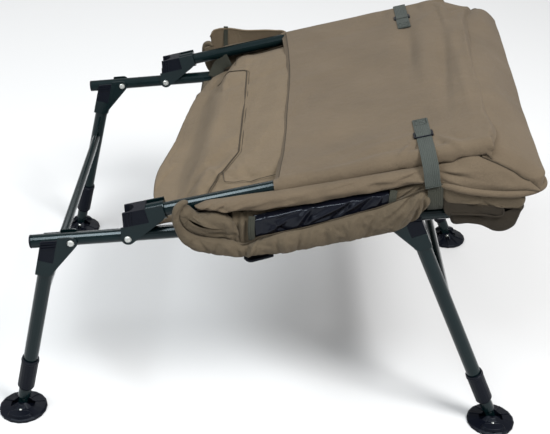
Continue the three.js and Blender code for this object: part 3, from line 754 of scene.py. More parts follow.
@dataclass(frozen=True)
class Canvas(Finish):
    """Brushed polyester: a fine weave with slubs and flecks, faint clouds and small creases.

    Attributes:
        colour: the cloth's colour.
        crease: depth of the small creases, in metres.
    """

    colour: tuple[float, ...] = shade(134, 121, 104)
    crease: float = 0.0011

    def dress(self, graph: Graph) -> Material:
        """Weave from crossed sines on the piece's coordinates, and five scales of noise.

        Args:
            graph: the material's nodes.

        Returns:
            The material.
        """
        place, x, y, z = graph.places()
        pace = 2 * math.pi / 0.0011
        weave = ((x + z) * pace).sine() * ((y + z * 0.6) * pace).sine()
        cloud = graph.noise(place, 7, 5, 0.6)
        slub = graph.noise(place, 420, 5, 0.7)
        fleck = graph.noise(place, 1500, 2, 0.6)
        dark, light = lit(self.colour, 0.72), lit(self.colour, 1.28)
        tone = (cloud - 0.5) * 0.9 + (slub - 0.5) * 0.6 + (fleck - 0.5) * 0.5 + weave * 0.05 + 0.5
        soft = graph.noise(place, 24, 3, 0.55)
        small = graph.noise(place, 85, 4, 0.6)
        normal = graph.bump(soft, self.crease * 3)
        normal = graph.bump(small, self.crease, normal)
        normal = graph.bump(slub + weave * 0.35 + fleck * 0.5, 0.00028, normal)
        return graph.set(
            Base_Color=graph.blend(tone, dark, light), Roughness=slub * 0.12 + 0.84, Normal=normal,
            Specular_IOR_Level=0.12, Sheen_Weight=0.04, Sheen_Roughness=0.5,
        )


@dataclass(frozen=True)
class Webbing(Finish):
    """Woven nylon webbing, with ribs along its cloth map."""

    colour: tuple[float, ...] = shade(80, 84, 76)

    def dress(self, graph: Graph) -> Material:
        """Ribs by a sine across the strap, picks by a sine along it, and slubs by noise.

        Args:
            graph: the material's nodes.

        Returns:
            The material.
        """
        across, along = graph.cloth()
        own, *_ = graph.places()
        rib = (across * (2 * math.pi / 0.0028)).sine()
        pick = (along * (2 * math.pi / 0.0022)).sine()
        slub = graph.noise(own, 700, 4, 0.7)
        dark, light = lit(self.colour, 0.55), lit(self.colour, 1.35)
        tone = rib * pick * 0.16 + slub * 0.8 + 0.08
        normal = graph.bump(rib * 0.6 + pick * 0.5 + slub, 0.0005)
        return graph.set(
            Base_Color=graph.blend(tone, dark, light), Roughness=slub * 0.15 + 0.72, Normal=normal,
            Specular_IOR_Level=0.35,
        )


@dataclass(frozen=True)
class CoatedCloth(Finish):
    """Glossy coated cloth, creased."""

    colour: tuple[float, ...] = shade(6, 7, 13)

    def dress(self, graph: Graph) -> Material:
        """A dark glossy coat over a faint weave, with creases from ridged noise.

        Args:
            graph: the material's nodes.

        Returns:
            The material.
        """
        place, *_ = graph.places()
        ridge = graph.noise(place, 26, 3, 0.5, noise_type="RIDGED_MULTIFRACTAL")
        weave = graph.noise(place, 1300, 2)
        haze = graph.noise(place, 60, 4)
        normal = graph.bump(weave, 0.00006, graph.bump(ridge, 0.0008))
        light = lit(self.colour, 1.7)
        return graph.set(
            Base_Color=graph.blend(haze, self.colour, light), Roughness=haze * 0.12 + 0.16,
            Normal=normal, Specular_IOR_Level=0.16, Specular_Tint=(0.82, 0.89, 1.0, 1.0),
            Coat_Weight=0.06, Coat_Roughness=0.1,
        )


@dataclass(frozen=True)
class Floor(Finish):
    """A plain pale floor."""

    colour: tuple[float, ...] = shade(200, 200, 200)

    def dress(self, graph: Graph) -> Material:
        """Pale grey, with the faintest cloud.

        Args:
            graph: the material's nodes.

        Returns:
            The material.
        """
        place, *_ = graph.places()
        haze = graph.noise(place, 1.5, 2) * 0.2
        grey = lit(self.colour, 0.97)
        return graph.set(Base_Color=graph.blend(haze, self.colour, grey), Roughness=0.9)


class Finishes(Enum):
    """Every finish on the chair and under it."""

    TUBE = TubePaint("tube_paint")
    MOULDING = Moulding("black_plastic")
    ZINC = Zinc("bright_zinc")
    HOOD = Canvas("hood_canvas", shade(86, 75, 61))
    PAD = Canvas("pad_canvas", shade(94, 82, 66))
    ROLL = Canvas("roll_canvas", shade(76, 67, 54), 0.0014)
    # The hood's canvas darkened: painted shade for the sling under the mattress, and for the front box's
    # flap, pocket and hem seams.
    SHADE = Canvas("under_canvas", shade(38, 33, 26))
    SEAM = Canvas("seam_thread", shade(50, 43, 33), 0.0002)
    WEBBING = Webbing("nylon_webbing", shade(55, 60, 56))
    # A darker, more olive copy of the webbing: partly the straps' own colour, and partly painted shade,
    # since these straps hang in shade.
    DARK_WEBBING = Webbing("dark_webbing", shade(43, 44, 35))
    COATED = CoatedCloth("coated_sheet")
    FLOOR = Floor("floor_paint")


# Cloth


@dataclass(frozen=True)
class Filling:
    """Blows a pad up with the cloth solver while its seams are held.

    Attributes:
        pressure: the filling's pressure.
        most: the furthest that a point may move, in millimetres.
        slack: how much larger the cloth is cut than it lies, as a share.
        frames: the steps that the solver takes.
    """

    pressure: float = 4.0
    most: float = 9.0
    slack: float = 0.03
    frames: int = 18

    def fill(self, piece: Piece, held: Array) -> None:
        """Runs the solver and keeps its result in the mesh.

        Args:
            piece: the pad, closed and untransformed.
            held: how firmly each vertex is held, from 0 to 1.
        """
        rest = corners(piece)
        group = piece.vertex_groups.new(name="held")
        for level in np.unique(np.round(held, 1)):
            chosen = np.flatnonzero(np.round(held, 1) == level).tolist()
            group.add(chosen, float(level), "REPLACE")
        cloth = self.solver(piece)
        scene = bpy.context.scene
        for frame in range(1, self.frames + 1):
            scene.frame_set(frame)
        depsgraph = bpy.context.evaluated_depsgraph_get()
        step = (corners(piece.evaluated_get(depsgraph)) - rest).reshape(-1, 3)
        piece.modifiers.remove(cloth)
        piece.vertex_groups.remove(group)
        piece.data.vertices.foreach_set("co", (rest.reshape(-1, 3) + self.limited(step)).ravel())
        piece.data.update()
        scene.frame_set(1)

    def solver(self, piece: Piece) -> bpy.types.Modifier:
        """Adds the cloth solver to a piece: padded canvas under pressure, with no gravity.

        Args:
            piece: the pad.

        Returns:
            The modifier.
        """
        cloth = piece.modifiers.new("filling", "CLOTH")
        settings = cloth.settings
        settings.quality = 6
        settings.mass = 0.3
        settings.tension_stiffness = settings.compression_stiffness = 12
        settings.shear_stiffness = 6
        settings.bending_stiffness = 0.4
        settings.air_damping = 4
        settings.use_pressure = True
        settings.uniform_pressure_force = self.pressure
        settings.shrink_min = -self.slack
        settings.effector_weights.gravity = 0
        settings.vertex_group_mass = "held"
        settings.pin_stiffness = 1
        cloth.collision_settings.use_collision = False
        return cloth

    def limited(self, step: Array) -> Array:
        """The points' steps, each shortened the more it nears the furthest allowed.

        Args:
            step: the steps in metres, one row each.

        Returns:
            The shortened steps.
        """
        length = np.linalg.norm(step, axis=1, keepdims=True)
        limit = self.most * MILLIMETRE
        share = np.where(length > 1e-9, limit * np.tanh(length / limit) / np.maximum(length, 1e-9), 1.0)
        return step * share


def corners(piece: Piece) -> Array:
    """The coordinates of the piece's vertices, one after another, as Blender keeps them.

    Args:
        piece: a mesh object.

    Returns:
        The coordinates in metres.
    """
    places = np.empty(len(piece.data.vertices) * 3, np.float32)
    piece.data.vertices.foreach_get("co", places)
    return places


def vertex_places(piece: Piece) -> Array:
    """The piece's vertices in metres, one row each."""
    return corners(piece).reshape(-1, 3).astype(float)


def on_slope(slope: Slope, points: Array) -> tuple[Array, Array, Array]:
    """The (u, y, w) of points on a slope, in millimetres: the reverse of placing them.

    Args:
        slope: the slope.
        points: rows of points in metres.

    Returns:
        Three arrays.
    """
    x, y, z = points.T / MILLIMETRE
    c, s = math.cos(slope.rise), math.sin(slope.rise)
    dx, dz = x - slope.x, z - slope.z
    return dx * c + dz * s, y, dz * c - dx * s


def seam(name: str, line: Array, facing: Array, width: float = 2.6, height: float = 1.3,
         finish: Finishes = Finishes.SEAM) -> Piece:
    """A sewn welt along a line of points, as a flat oval carried along it."""
    grid = carried(line, flat_oval(width, height, 8, 0.9), facing)
    return closed(name, grid).build(finish)


def strap(name: str, line: Array, facing: Array, width: float = 25.0, thickness: float = 1.7,
          finish: Finishes = Finishes.WEBBING) -> Piece:
    """Webbing along a line of points: a flat oval carried along it, with its cut ends closed."""
    grid = carried(line, flat_oval(width, thickness, 28, 0.3), facing)
    return closed(name, grid).build(finish, "webbing")


@dataclass
class Hood:
    """The pocket over the top of the back frame: a raised panel, a sloping border and two flaps.

    Attributes:
        hem: the rear hem's station across the chair.
        front: the raised panel's front edge.
        lip: the height of that edge.
        lip_top: the height from which it droops.
        bend: how far from the chair's middle the cloth starts to bend down to a flap.
        edge: how far out it ends.
        sag: how far the panel sags between the tubes.
        belly: how far it rises again over the top tube.
        outer: the border's outermost edge.
        outer_height: the height of that edge.
        crown: how far the border swells out.
        top: the panel's level.
        wrap_radius: the radius of the cloth round a side tube.
        wrap_start: where it starts to turn.
        wrap_turn: how far it turns, in radians.
        clear: how far the panel stays off a tube's middle line.
        mouth: the station where the face on the sitting side starts.
        low: the flaps' bottom line, seen from the side.
        wall: the cloth's thickness.
        folds: the panel's folds.
    """

    hem: Curve = ((-319, 247), (-207, 256), (-68, 261), (91, 266), (243, 262), (319, 257))
    front: Curve = (
        (-319, 581), (-306, 588), (-291, 594), (-211, 596), (-119, 603), (-34, 605),
        (126, 615), (190, 620), (250, 632), (290, 643), (319, 649),
    )
    lip: Curve = (
        (-319, -1), (-300, 11), (-285, 14), (126, 14), (190, 9), (250, -1), (290, -11), (319, -22),
    )
    lip_top: float = 14.0
    bend: float = 285.0
    edge: float = 319.0
    sag: float = 2.4
    belly: float = 3.4
    outer: Curve = ((-331, 658), (-177, 661), (9, 671), (146, 678), (331, 688))
    outer_height: Curve = ((-331, -63), (0, -60), (240, -58), (331, -60))
    crown: Curve = ((-331, 4), (-250, 9), (-150, 12), (150, 13), (300, 18), (331, 19))
    top: float = 13.4
    wrap_radius: float = 15.0
    wrap_start: float = 303.0
    wrap_turn: float = 2.05
    clear: float = 12.8
    mouth: float = 446.0
    low: Curve = (
        (446, -30), (488, -32), (505, -37), (544, -55), (584, -68), (619, -77), (648, -82), (690, -84),
    )
    wall: float = 1.4
    folds: Folds = (
        Fold(500, 90, 86, 110, 13, -6.2), Fold(524, 50, 85, 140, 14, 3.4),
        Fold(552, -20, 84, 150, 11, -7.0), Fold(576, -60, 87, 150, 9, 3.2),
        Fold(466, 120, 84, 110, 18, 2.2), Fold(596, 90, 78, 80, 10, -3.0),
        Fold(350, -210, 8, 110, 24, -2.0), Fold(390, -250, 10, 90, 12, 2.0),
        Fold(330, 60, 4, 120, 20, 1.4), Fold(300, -60, 70, 90, 16, -1.6),
        Fold(440, -262, 12, 70, 9, 2.2), Fold(400, 230, 10, 140, 22, -2.2),
        Fold(420, -288, 6, 60, 7, -2.4), Fold(560, 230, 55, 60, 14, 2.4),
        Fold(466, -302, 68, 26, 6, -5.0), Fold(456, -298, 60, 28, 6, 3.4),
        Fold(516, -304, 112, 24, 6, -4.6), Fold(528, -300, 122, 28, 7, 3.4),
        Fold(545, -296, 140, 30, 7, -2.4), Fold(600, 240, 50, 60, 9, 3.0),
        Fold(612, 268, 40, 40, 7, -3.4), Fold(470, 290, 80, 30, 8, -2.6),
        Fold(534, 292, 100, 30, 8, -2.6), Fold(500, -180, 95, 40, 14, -1.4),
    )

    def height(self, u: Array, y: Array) -> Array:
        """Height of the raised panel on the back's slope.

        It is the panel's level, less a sag between the tubes, plus folds, and less a droop that
        grows to the front so that the edge meets its own line. Over a tube it is never lower than
        the tube with its clearance.

        Args:
            u: stations, in millimetres.
            y: places across, in millimetres.

        Returns:
            The heights, in millimetres.
        """
        middle = np.cos(np.clip(y / RAIL_Y, -1, 1) * math.pi / 2)
        swell = (self.belly * eased(430, 560, u) - self.sag) * middle
        droop = np.maximum(self.lip_top - read(self.lip, np.clip(y, -self.bend, self.bend)), 0)
        droop = droop + 10 * eased(self.bend, self.edge, y)
        droop = droop * eased(-90, 0, u - read(self.front, y))
        level = self.top + swell - droop + 0.9 * ripple(u, y, 150, 3) + folded(self.folds, u, y)
        reach = np.clip(self.from_tube(u, y), -self.clear, self.clear)
        over_tube = np.maximum(level, np.sqrt(self.clear ** 2 - reach ** 2))
        return np.where(np.abs(reach) < self.clear, over_tube, level)

    @staticmethod
    def from_tube(u: Array, y: Array) -> Array:
        """How far outside the bowed back tube's middle line a place lies.

        That is off its straight side, off its straight end, or off the quarter circle between them.

        Args:
            u: stations, in millimetres.
            y: places across, in millimetres.

        Returns:
            The distances, less than 0 inside the line.
        """
        side, end = np.abs(y) - RAIL_Y, u - BACK_TOP
        corner = np.hypot(end + BOW_RADIUS, side + BOW_RADIUS) - BOW_RADIUS
        bent = (side > -BOW_RADIUS) & (end > -BOW_RADIUS)
        return np.where(bent, corner, np.where(end > -BOW_RADIUS, end, side))

    def over(self, u: float, y: Array) -> Array:
        """The highest that the panel stands under a strap's width at a station."""
        places = (-12.0, -6.0, 0.0, 6.0, 12.0)
        return np.max([self.height(u + aside, y) for aside in places], axis=0)

    def panel(self) -> Piece:
        """The raised panel, from its hem over both tubes, with its front edge turned down.

        Across, the cloth runs level between the tubes and then round each, by an angle that grows
        with the distance past the tube's top. Along, it runs from the hem's line to the front's.

        Returns:
            The piece.
        """
        along = close_ends(0.03, 8, 130)[:, None]
        wide = self.wrap_start + self.wrap_radius * self.wrap_turn
        across = np.linspace(-wide, wide, 210)
        past = np.maximum(np.abs(across) - self.wrap_start, 0) / self.wrap_radius
        level = np.minimum(np.abs(across), self.wrap_start)
        y = np.sign(across) * (level + self.wrap_radius * np.sin(past))
        drop = self.wrap_radius * (1 - np.cos(past))
        u = read(self.hem, y) * (1 - along) + read(self.front, y) * along
        lip = 13 * eased(0.97, 1.0, along) ** 1.2
        hem = 6.5 * (1 - eased(0, 0.03, along))
        h = self.height(u, y) - drop - lip - hem
        aside = np.abs(y) - RAIL_Y
        reach = np.hypot(aside, h)
        beside_tube = (reach < self.clear) & (u < BACK_TOP + TUBE_RADIUS) & (past > 0)
        push = np.where(beside_tube, self.clear / np.maximum(reach, 1), 1.0)
        grid = BACK.place(u, np.sign(y) * (RAIL_Y + aside * push), h * push)
        return Skin("hood_panel", grid).build(Finishes.HOOD, wall=self.wall)

    def border_grid(self) -> Array:
        """The border's places on the back's slope.

        Each line across the chair lies part of the way from under the raised panel's edge, over a
        swell, to the outer edge, and the last quarter of them goes down and a little back. The ends
        are drawn back from the outer edge along a quarter of an oval, so that the corners are
        round.

        Returns:
            Rows of (u, y, h), in millimetres.
        """
        rows = column(80)
        share = np.linspace(-1, 1, 190)
        y = share * read(((0, 316.5), (0.25, 321), (0.5, 325), (0.75, 330), (1, 330)), rows)
        part = np.clip(rows / 0.75, 0, 1)
        inner_u, inner_h = read(self.front, y) - 16, read(self.lip, y) - 15
        outer_u, outer_h = read(self.outer, y), read(self.outer_height, y)
        swell = read(self.crown, y) * np.sin(math.pi * part ** 0.75)
        u = inner_u + (outer_u - inner_u) * part + 0.66 * swell
        h = inner_h + (outer_h - inner_h) * part + 0.75 * swell
        under = np.clip((rows - 0.75) / 0.25, 0, 1)
        u = u - 10 * under ** 1.5
        h = h - (83 + outer_h) * under
        near_end = np.clip((np.abs(share) - 0.93) / 0.07, 0, 1)
        back = read(((0, 0), (0.25, 11), (0.5, 20), (0.75, 27), (0.9, 14), (1, 3)), rows)
        u = u - back * (1 - quarter(near_end))
        quiet = (1 - near_end) * np.sin(math.pi * rows)
        wave = 1.3 * ripple(u, y, 130, 11) * quiet
        grid = np.stack([u + 0.5 * wave, y, h + wave], -1)
        for _ in range(3):
            grid[1:-1] = (grid[:-2] + 2 * grid[1:-1] + grid[2:]) / 4
        return grid

    def flap(self, side: Side, border: Array) -> Piece:
        """The side panel at the front, ruled from its top line to its bottom one and swollen.

        The top line follows the raised panel's edge, higher on the left, and then the border's end,
        so that the mitre between them is closed. Folds spread over it from the strap.

        Args:
            side: the chair's side.
            border: the border's end there, as rows of (u, y, h).

        Returns:
            The piece.
        """
        start_u, start_y, start_h = border[0]
        rise = 8.0 if side is Side.LEFT else 0.0
        edge = through([
            (488, 314, -12 + rise), (503, 314, -12 + rise), (530, 314, -10 + rise),
            (556, 314, -7 + rise), (start_u, abs(start_y), start_h),
        ], 46)
        mitre = border * [1, side.value, 1]
        top = np.concatenate([edge[:-1], mitre])
        low = through([
            (488, 328, -32), (505, 332, -37), (544, 335, -55), (584, 335, -68), (619, 333, -77),
            mitre[-1],
        ], len(top))
        rows = column(34)
        line = top * (1 - rows[..., None]) + low * rows[..., None]
        u, y, h = np.moveaxis(line, -1, 0)
        share = np.linspace(0, 1, len(top))
        bulge = 6.5 * np.sin(math.pi * rows) * np.sin(math.pi * share) ** 0.5
        folds = (
            Fold(515, -21, -12, 30, 3.6, 4.0), Fold(520, -28, -22, 32, 3.6, -3.4),
            Fold(514, -34, -34, 26, 4, 3.0), Fold(560, -22, -28, 60, 9, 2.4),
            Fold(600, -52, -46, 44, 8, -2.2), Fold(590, -60, -20, 50, 7, 2.0),
        )
        quiet = np.sin(math.pi * rows) ** 0.5
        y = y + bulge + folded(folds, u, h) * quiet
        flap = Skin(f"hood_flap_{side}", BACK.place(u, side.value * y, h))
        return flap.build(Finishes.HOOD, wall=self.wall)

    def roll(self, border: Array) -> Piece:
        """The rolled bottom edge, from one strap round the front to the other.

        It is an oval carried along the flaps' bottom lines and the border's, thinner at both ends.

        Args:
            border: the border's places, as rows of (u, y, h).

        Returns:
            The piece.
        """
        near = [
            (486, -327, -36), (503, -333, -40.5), (544, -336, -59), (584, -336, -72), (619, -334, -80),
        ]
        far = [(u + 6, -y, h) for u, y, h in near][::-1]
        front = border[-1, 4:-4:18] + [2.5, 0, -2.5]
        count = 260
        placed = BACK.line(through(near + [tuple(row) for row in front] + far, count))
        step = np.arange(count)
        ends = quarter(1 - np.minimum(step, count - 1 - step) / 12, 0.03)
        facing = placed - BACK.place(560, 0, -60)
        facing[:, 2] = 0
        facing /= np.linalg.norm(facing, axis=1, keepdims=True)
        grid = carried(placed, flat_oval(11, 11, 18, 0.95), facing)
        grid = placed[:, None] + (grid - placed[:, None]) * ends[:, None, None]
        return closed("hood_roll", grid).build(Finishes.HOOD)

    def underside(self, border: Array) -> Piece:
        """The pocket's face on the sitting side, from its mouth to the border's bottom edge.

        Along, its height falls evenly. Across, it is level and then turns up to the flaps' bottom
        lines over its last part.

        Args:
            border: the border's places, as rows of (u, y, h).

        Returns:
            The piece.
        """
        rows = column(60)
        end_u, end_y, end_h = border[-1, ::2].T
        y = end_y * 0.985
        u = self.mouth + (end_u - 2 - self.mouth) * rows
        level = -42 + (end_h + 43) * rows
        low = read(self.low, u) + 1.5
        turned = eased(280, 322, np.abs(y))
        h = level * (1 - turned) + np.maximum(low, level) * turned
        h = h + 1.2 * ripple(u, y, 140, 13) * np.sin(math.pi * rows)
        h = h - 2.0 * (1 - eased(0, 0.04, rows))
        return Skin("hood_underside", BACK.place(u, y, h)).build(Finishes.HOOD, wall=self.wall)

    def seams(self, border: Array) -> Piece:
        """The hem's stitching and the two mitre seams.

        Args:
            border: the border's places, as rows of (u, y, h).

        Returns:
            The piece.
        """
        parts = []
        y = np.linspace(-303, 303, 160)
        u = read(self.hem, y) + 9
        parts.append(seam("hem", BACK.place(u, y, self.height(u, y) + 0.4), BACK.up(), 1.6, 1.0))
        for item, way in ((0, -1), (-1, 1)):
            line = border[:60, item] + [0.8, 0.8 * way, 0.8]
            facing = np.array([0.5, way * 0.7, 0.5])
            parts.append(seam("mitre", BACK.line(line), facing, 2.0, 1.1))
        return merged("hood_seams", parts)

    def build(self) -> None:
        """Makes the hood's pieces, which ride on the backrest."""
        panel = self.panel()
        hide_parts("hood_pocket")
        grid = self.border_grid()
        border = Skin("hood_border", BACK.place(*np.moveaxis(grid, -1, 0)))
        border = border.build(Finishes.HOOD, wall=self.wall)
        flaps = [self.flap(Side.RIGHT, grid[:, 0]), self.flap(Side.LEFT, grid[:, -1])]
        under = self.underside(grid)
        settled([panel, border, under, self.seams(grid), self.roll(grid), *flaps], "backrest")


def baked(piece: Piece) -> Piece:
    """Applies the piece's modifiers to its mesh.

    Args:
        piece: a mesh object.

    Returns:
        The same object.
    """
    depsgraph = bpy.context.evaluated_depsgraph_get()
    mesh = bpy.data.meshes.new_from_object(piece.evaluated_get(depsgraph))
    piece.modifiers.clear()
    piece.data = mesh
    return piece


@dataclass
class BackPad:
    """The back's padding under the tubes: a broad cushion with a sewn lumbar panel and side rolls.

    Attributes:
        rear: the cushion's rear edge.
        fold_line: where its outer face starts to fall to that edge.
        front: the station of its front edge.
        half: half its width.
        welt: the seam round the lumbar panel.
        side_seams: the seams beside it, at both tubes.
        folds: the outer face's folds.
        roll_top: the top of a side roll along the tube.
        roll_low: its bottom.
        roll_place: how far from the chair's middle it lies.
        roll_folds: its folds, by station and height.
    """

    rear: Curve = (
        (-300, 46), (-262, 37), (-203, 29), (-146, 25), (-92, 29), (-54, 37), (35, 49), (133, 61),
        (215, 77), (261, 94), (300, 130),
    )
    fold_line: Curve = (
        (-300, 112), (-249, 123), (-131, 132), (13, 141), (102, 140), (190, 150), (300, 175),
    )
    front: float = 600.0
    half: float = 289.0
    welt: Curve = ((118, 207), (187, 178), (187, 56), (184, -158), (134, -280))
    side_seams: tuple[Curve, ...] = (
        ((160, -222), (164, -258), (242, -267), (262, -268)),
        ((160, 222), (164, 258), (242, 267), (262, 268)),
    )
    folds: Folds = (
        Fold(215, -150, 70, 60, 12, 2.0), Fold(225, 60, 84, 120, 14, -1.8),
        Fold(156, -236, 118, 46, 8, 3.6), Fold(128, -262, 108, 40, 7, -4.2),
        Fold(205, -262, 100, 40, 8, -2.6), Fold(100, -190, 70, 80, 11, 1.8),
        Fold(230, 190, 70, 60, 12, 1.8), Fold(140, 225, 60, 40, 10, -2.6),
        Fold(84, 20, 84, 90, 12, 1.6), Fold(170, -272, 20, 40, 5, 2.4),
    )
    roll_top: Curve = ((118, 3), (140, 6), (168, 5), (245, 1), (339, -3), (478, -8), (500, -9))
    roll_low: Curve = (
        (118, 0), (129, -3), (160, -12), (214, -21), (307, -28), (385, -30), (473, -31), (500, -30),
    )
    roll_place: Curve = ((118, 314), (140, 319), (200, 321), (500, 321.5))
    roll_folds: Folds = (
        Fold(146, 3, 30, 18, 2.6, -4.4), Fold(158, -5, -24, 20, 2.8, 3.2),
        Fold(168, 0, 22, 22, 2.6, -3.6), Fold(184, -8, 4, 34, 3, 2.6),
        Fold(205, -13, 8, 40, 2.8, -2.4), Fold(176, -12, -30, 18, 2.6, -2.6),
        Fold(300, -16, 3, 100, 4, 2.0), Fold(420, -16, -4, 60, 4, -2.2),
        Fold(455, -20, -10, 40, 3, 2.6), Fold(462, -12, 12, 30, 3, -2.8),
        Fold(360, -8, 2, 60, 3, -1.8), Fold(250, -8, 6, 50, 4, 2.0),
    )

    def height(self, u: Array, y: Array) -> Array:
        """Height of the outer face on the back's slope.

        It is level under the hood, rises inside the lumbar welt, and falls from the fold line to
        the rear edge.

        Args:
            u: stations, in millimetres.
            y: places across, in millimetres.

        Returns:
            The heights, in millimetres.
        """
        edge, crease = read(self.rear, y), read(self.fold_line, y)
        past = np.clip((crease - u) / (crease - edge), 0, 1)
        fall = 18 * np.clip(past / 0.56, 0, 1) + 14 * eased(0, 0.56, past) + 3 * eased(0.8, 1, past)
        level = -1.5 - fall - 3.0 * eased(0.86, 1, np.abs(y) / self.half) + 4.5 * eased(205, 262, u)
        level = level - 40 * eased(560, 605, u)
        lumbar = 2.8 * (1 - eased(180, 196, u + 0.5 * np.maximum(-150 - y, 0)))
        level = level + lumbar * (1 - eased(0, 0.4, past)) + 0.9 * ripple(u, y, 130, 21)
        return level + folded(self.folds, u, y)

    def cushion(self) -> Piece:
        """The cushion, as a loop of points round each cross-section.

        The loop runs over the outer face and back along the under one. They meet at the cushion's
        rear and front edges.

        Returns:
            The piece.
        """
        rows = close_ends(0.06, 14, 120)[:, None]
        c, s = circle(160)
        y = self.half * squared(c, 0.42)
        rear = read(self.rear, y)
        u = rear + (self.front - rear) * rows
        top = self.height(u, y)
        ends = quarter(1 - rows / 0.045) * quarter((rows - 0.96) / 0.04)
        full = np.minimum(top - (under_back(u, y) + 1.5), 42)
        upper = (1 + squared(s, 0.5)) / 2
        middle = top - full * 0.42
        h = middle + (top - middle) * ends - full * ends * (1 - upper)
        return Skin("back_cushion", BACK.place(u, y, h), around=True).build(Finishes.PAD)

    def side_roll(self, side: Side) -> Piece:
        """The pad's edge that hangs out under a tube, as a loop round each station.

        It is wide at its rear lobe and slimmer to the front, with wrinkles at its rear end.

        Args:
            side: the chair's side.

        Returns:
            The piece.
        """
        u = np.linspace(self.roll_top[0][0], self.roll_top[-1][0], 150)[:, None]
        c, s = circle(48)
        ends = quarter(1 - (u - u[0]) / 22)
        top, low = read(self.roll_top, u), read(self.roll_low, u)
        half = np.maximum((top - low) / 2, 2) * ends
        out = read(self.roll_place, u) + 15.0 * ends * squared(c, 0.8)
        h = (top + low) / 2 + half * squared(s, 0.8)
        out = out + folded(self.roll_folds, u, h) * np.clip(c + 0.2, 0, 1)
        out = out + 1.3 * ripple(u, h * 3, 60, 31)
        return closed(f"back_roll_{side}", BACK.place(u, side.value * out, h)).build(Finishes.HOOD)

    def seams(self) -> Piece:
        """The welt round the lumbar panel, the stitching beside it, and the seams at the tubes.

        Returns:
            The piece.
        """
        lines = [(cornered(self.welt, 170) + [shift, 0], width, width / 2, lift)
                 for shift, width, lift in ((0.0, 2.6, 0.5), (4.5, 1.0, 0.4))]
        lines += [(cornered(points, 60), 1.3, 0.9, 0.3) for points in self.side_seams]
        parts = []
        for line, width, height, lift in lines:
            u, y = line.T
            placed = BACK.place(u, y, self.height(u, y) + lift)
            parts.append(seam("seam", placed, BACK.up(), width, height))
        return merged("back_seams", parts)

    def held(self, cushion: Piece) -> Array:
        """How firmly each vertex of the cushion is held while it is filled, from 0 to 1.

        The seams, the ends, the under face and what the hood covers are held.

        Args:
            cushion: the cushion.

        Returns:
            A share for each vertex.
        """
        u, y, h = on_slope(BACK, vertex_places(cushion))
        sewn = np.concatenate([cornered(line, 90) for line in (self.welt, *self.side_seams)])
        apart = np.hypot(u[:, None] - sewn[:, 0], y[:, None] - sewn[:, 1]).min(axis=1)
        firm = (np.abs(y) > 270) | (h < self.height(u, y) - 6) | (u > 420)
        return np.where(firm, 1.0, np.clip(1.3 - apart / 10, 0, 1))

    def build(self) -> None:
        """Makes the pad's pieces, which ride on the backrest."""
        cushion = self.cushion()
        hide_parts("back_pad")
        Filling(3.0, 4.0, 0.02).fill(cushion, self.held(cushion))
        pieces = [cushion, self.seams()]
        for side in Side:
            roll = self.side_roll(side)
            pieces.append(roll)
        settled(pieces, "backrest")


SPLIT: Curve = ((-137, 8), (198, 54), (409, 36))


def split(u: Array) -> Array:
    """The height above the rails where the seat's padding meets the back's."""
    return np.interp(u, *np.array(SPLIT, float).T)


def under_back(u: Array, y: Array) -> Array:
    """The same height on the back's slope: the rails' line, seen from the back tubes.

    Args:
        u: stations, in millimetres.
        y: places across, in millimetres.

    Returns:
        The heights, in millimetres.
    """
    c, s = math.cos(BACK_TILT), math.sin(BACK_TILT)
    foot_u = RECLINE_STATION - BACK_LIFT * s
    foot_w = BACK_LIFT * c
    h = np.full(np.broadcast(u, y).shape, -BACK_LIFT)
    for _ in range(6):
        rail = foot_u + u * c - h * s
        h = h + split(rail) - (foot_w + u * s + h * c)
    return h


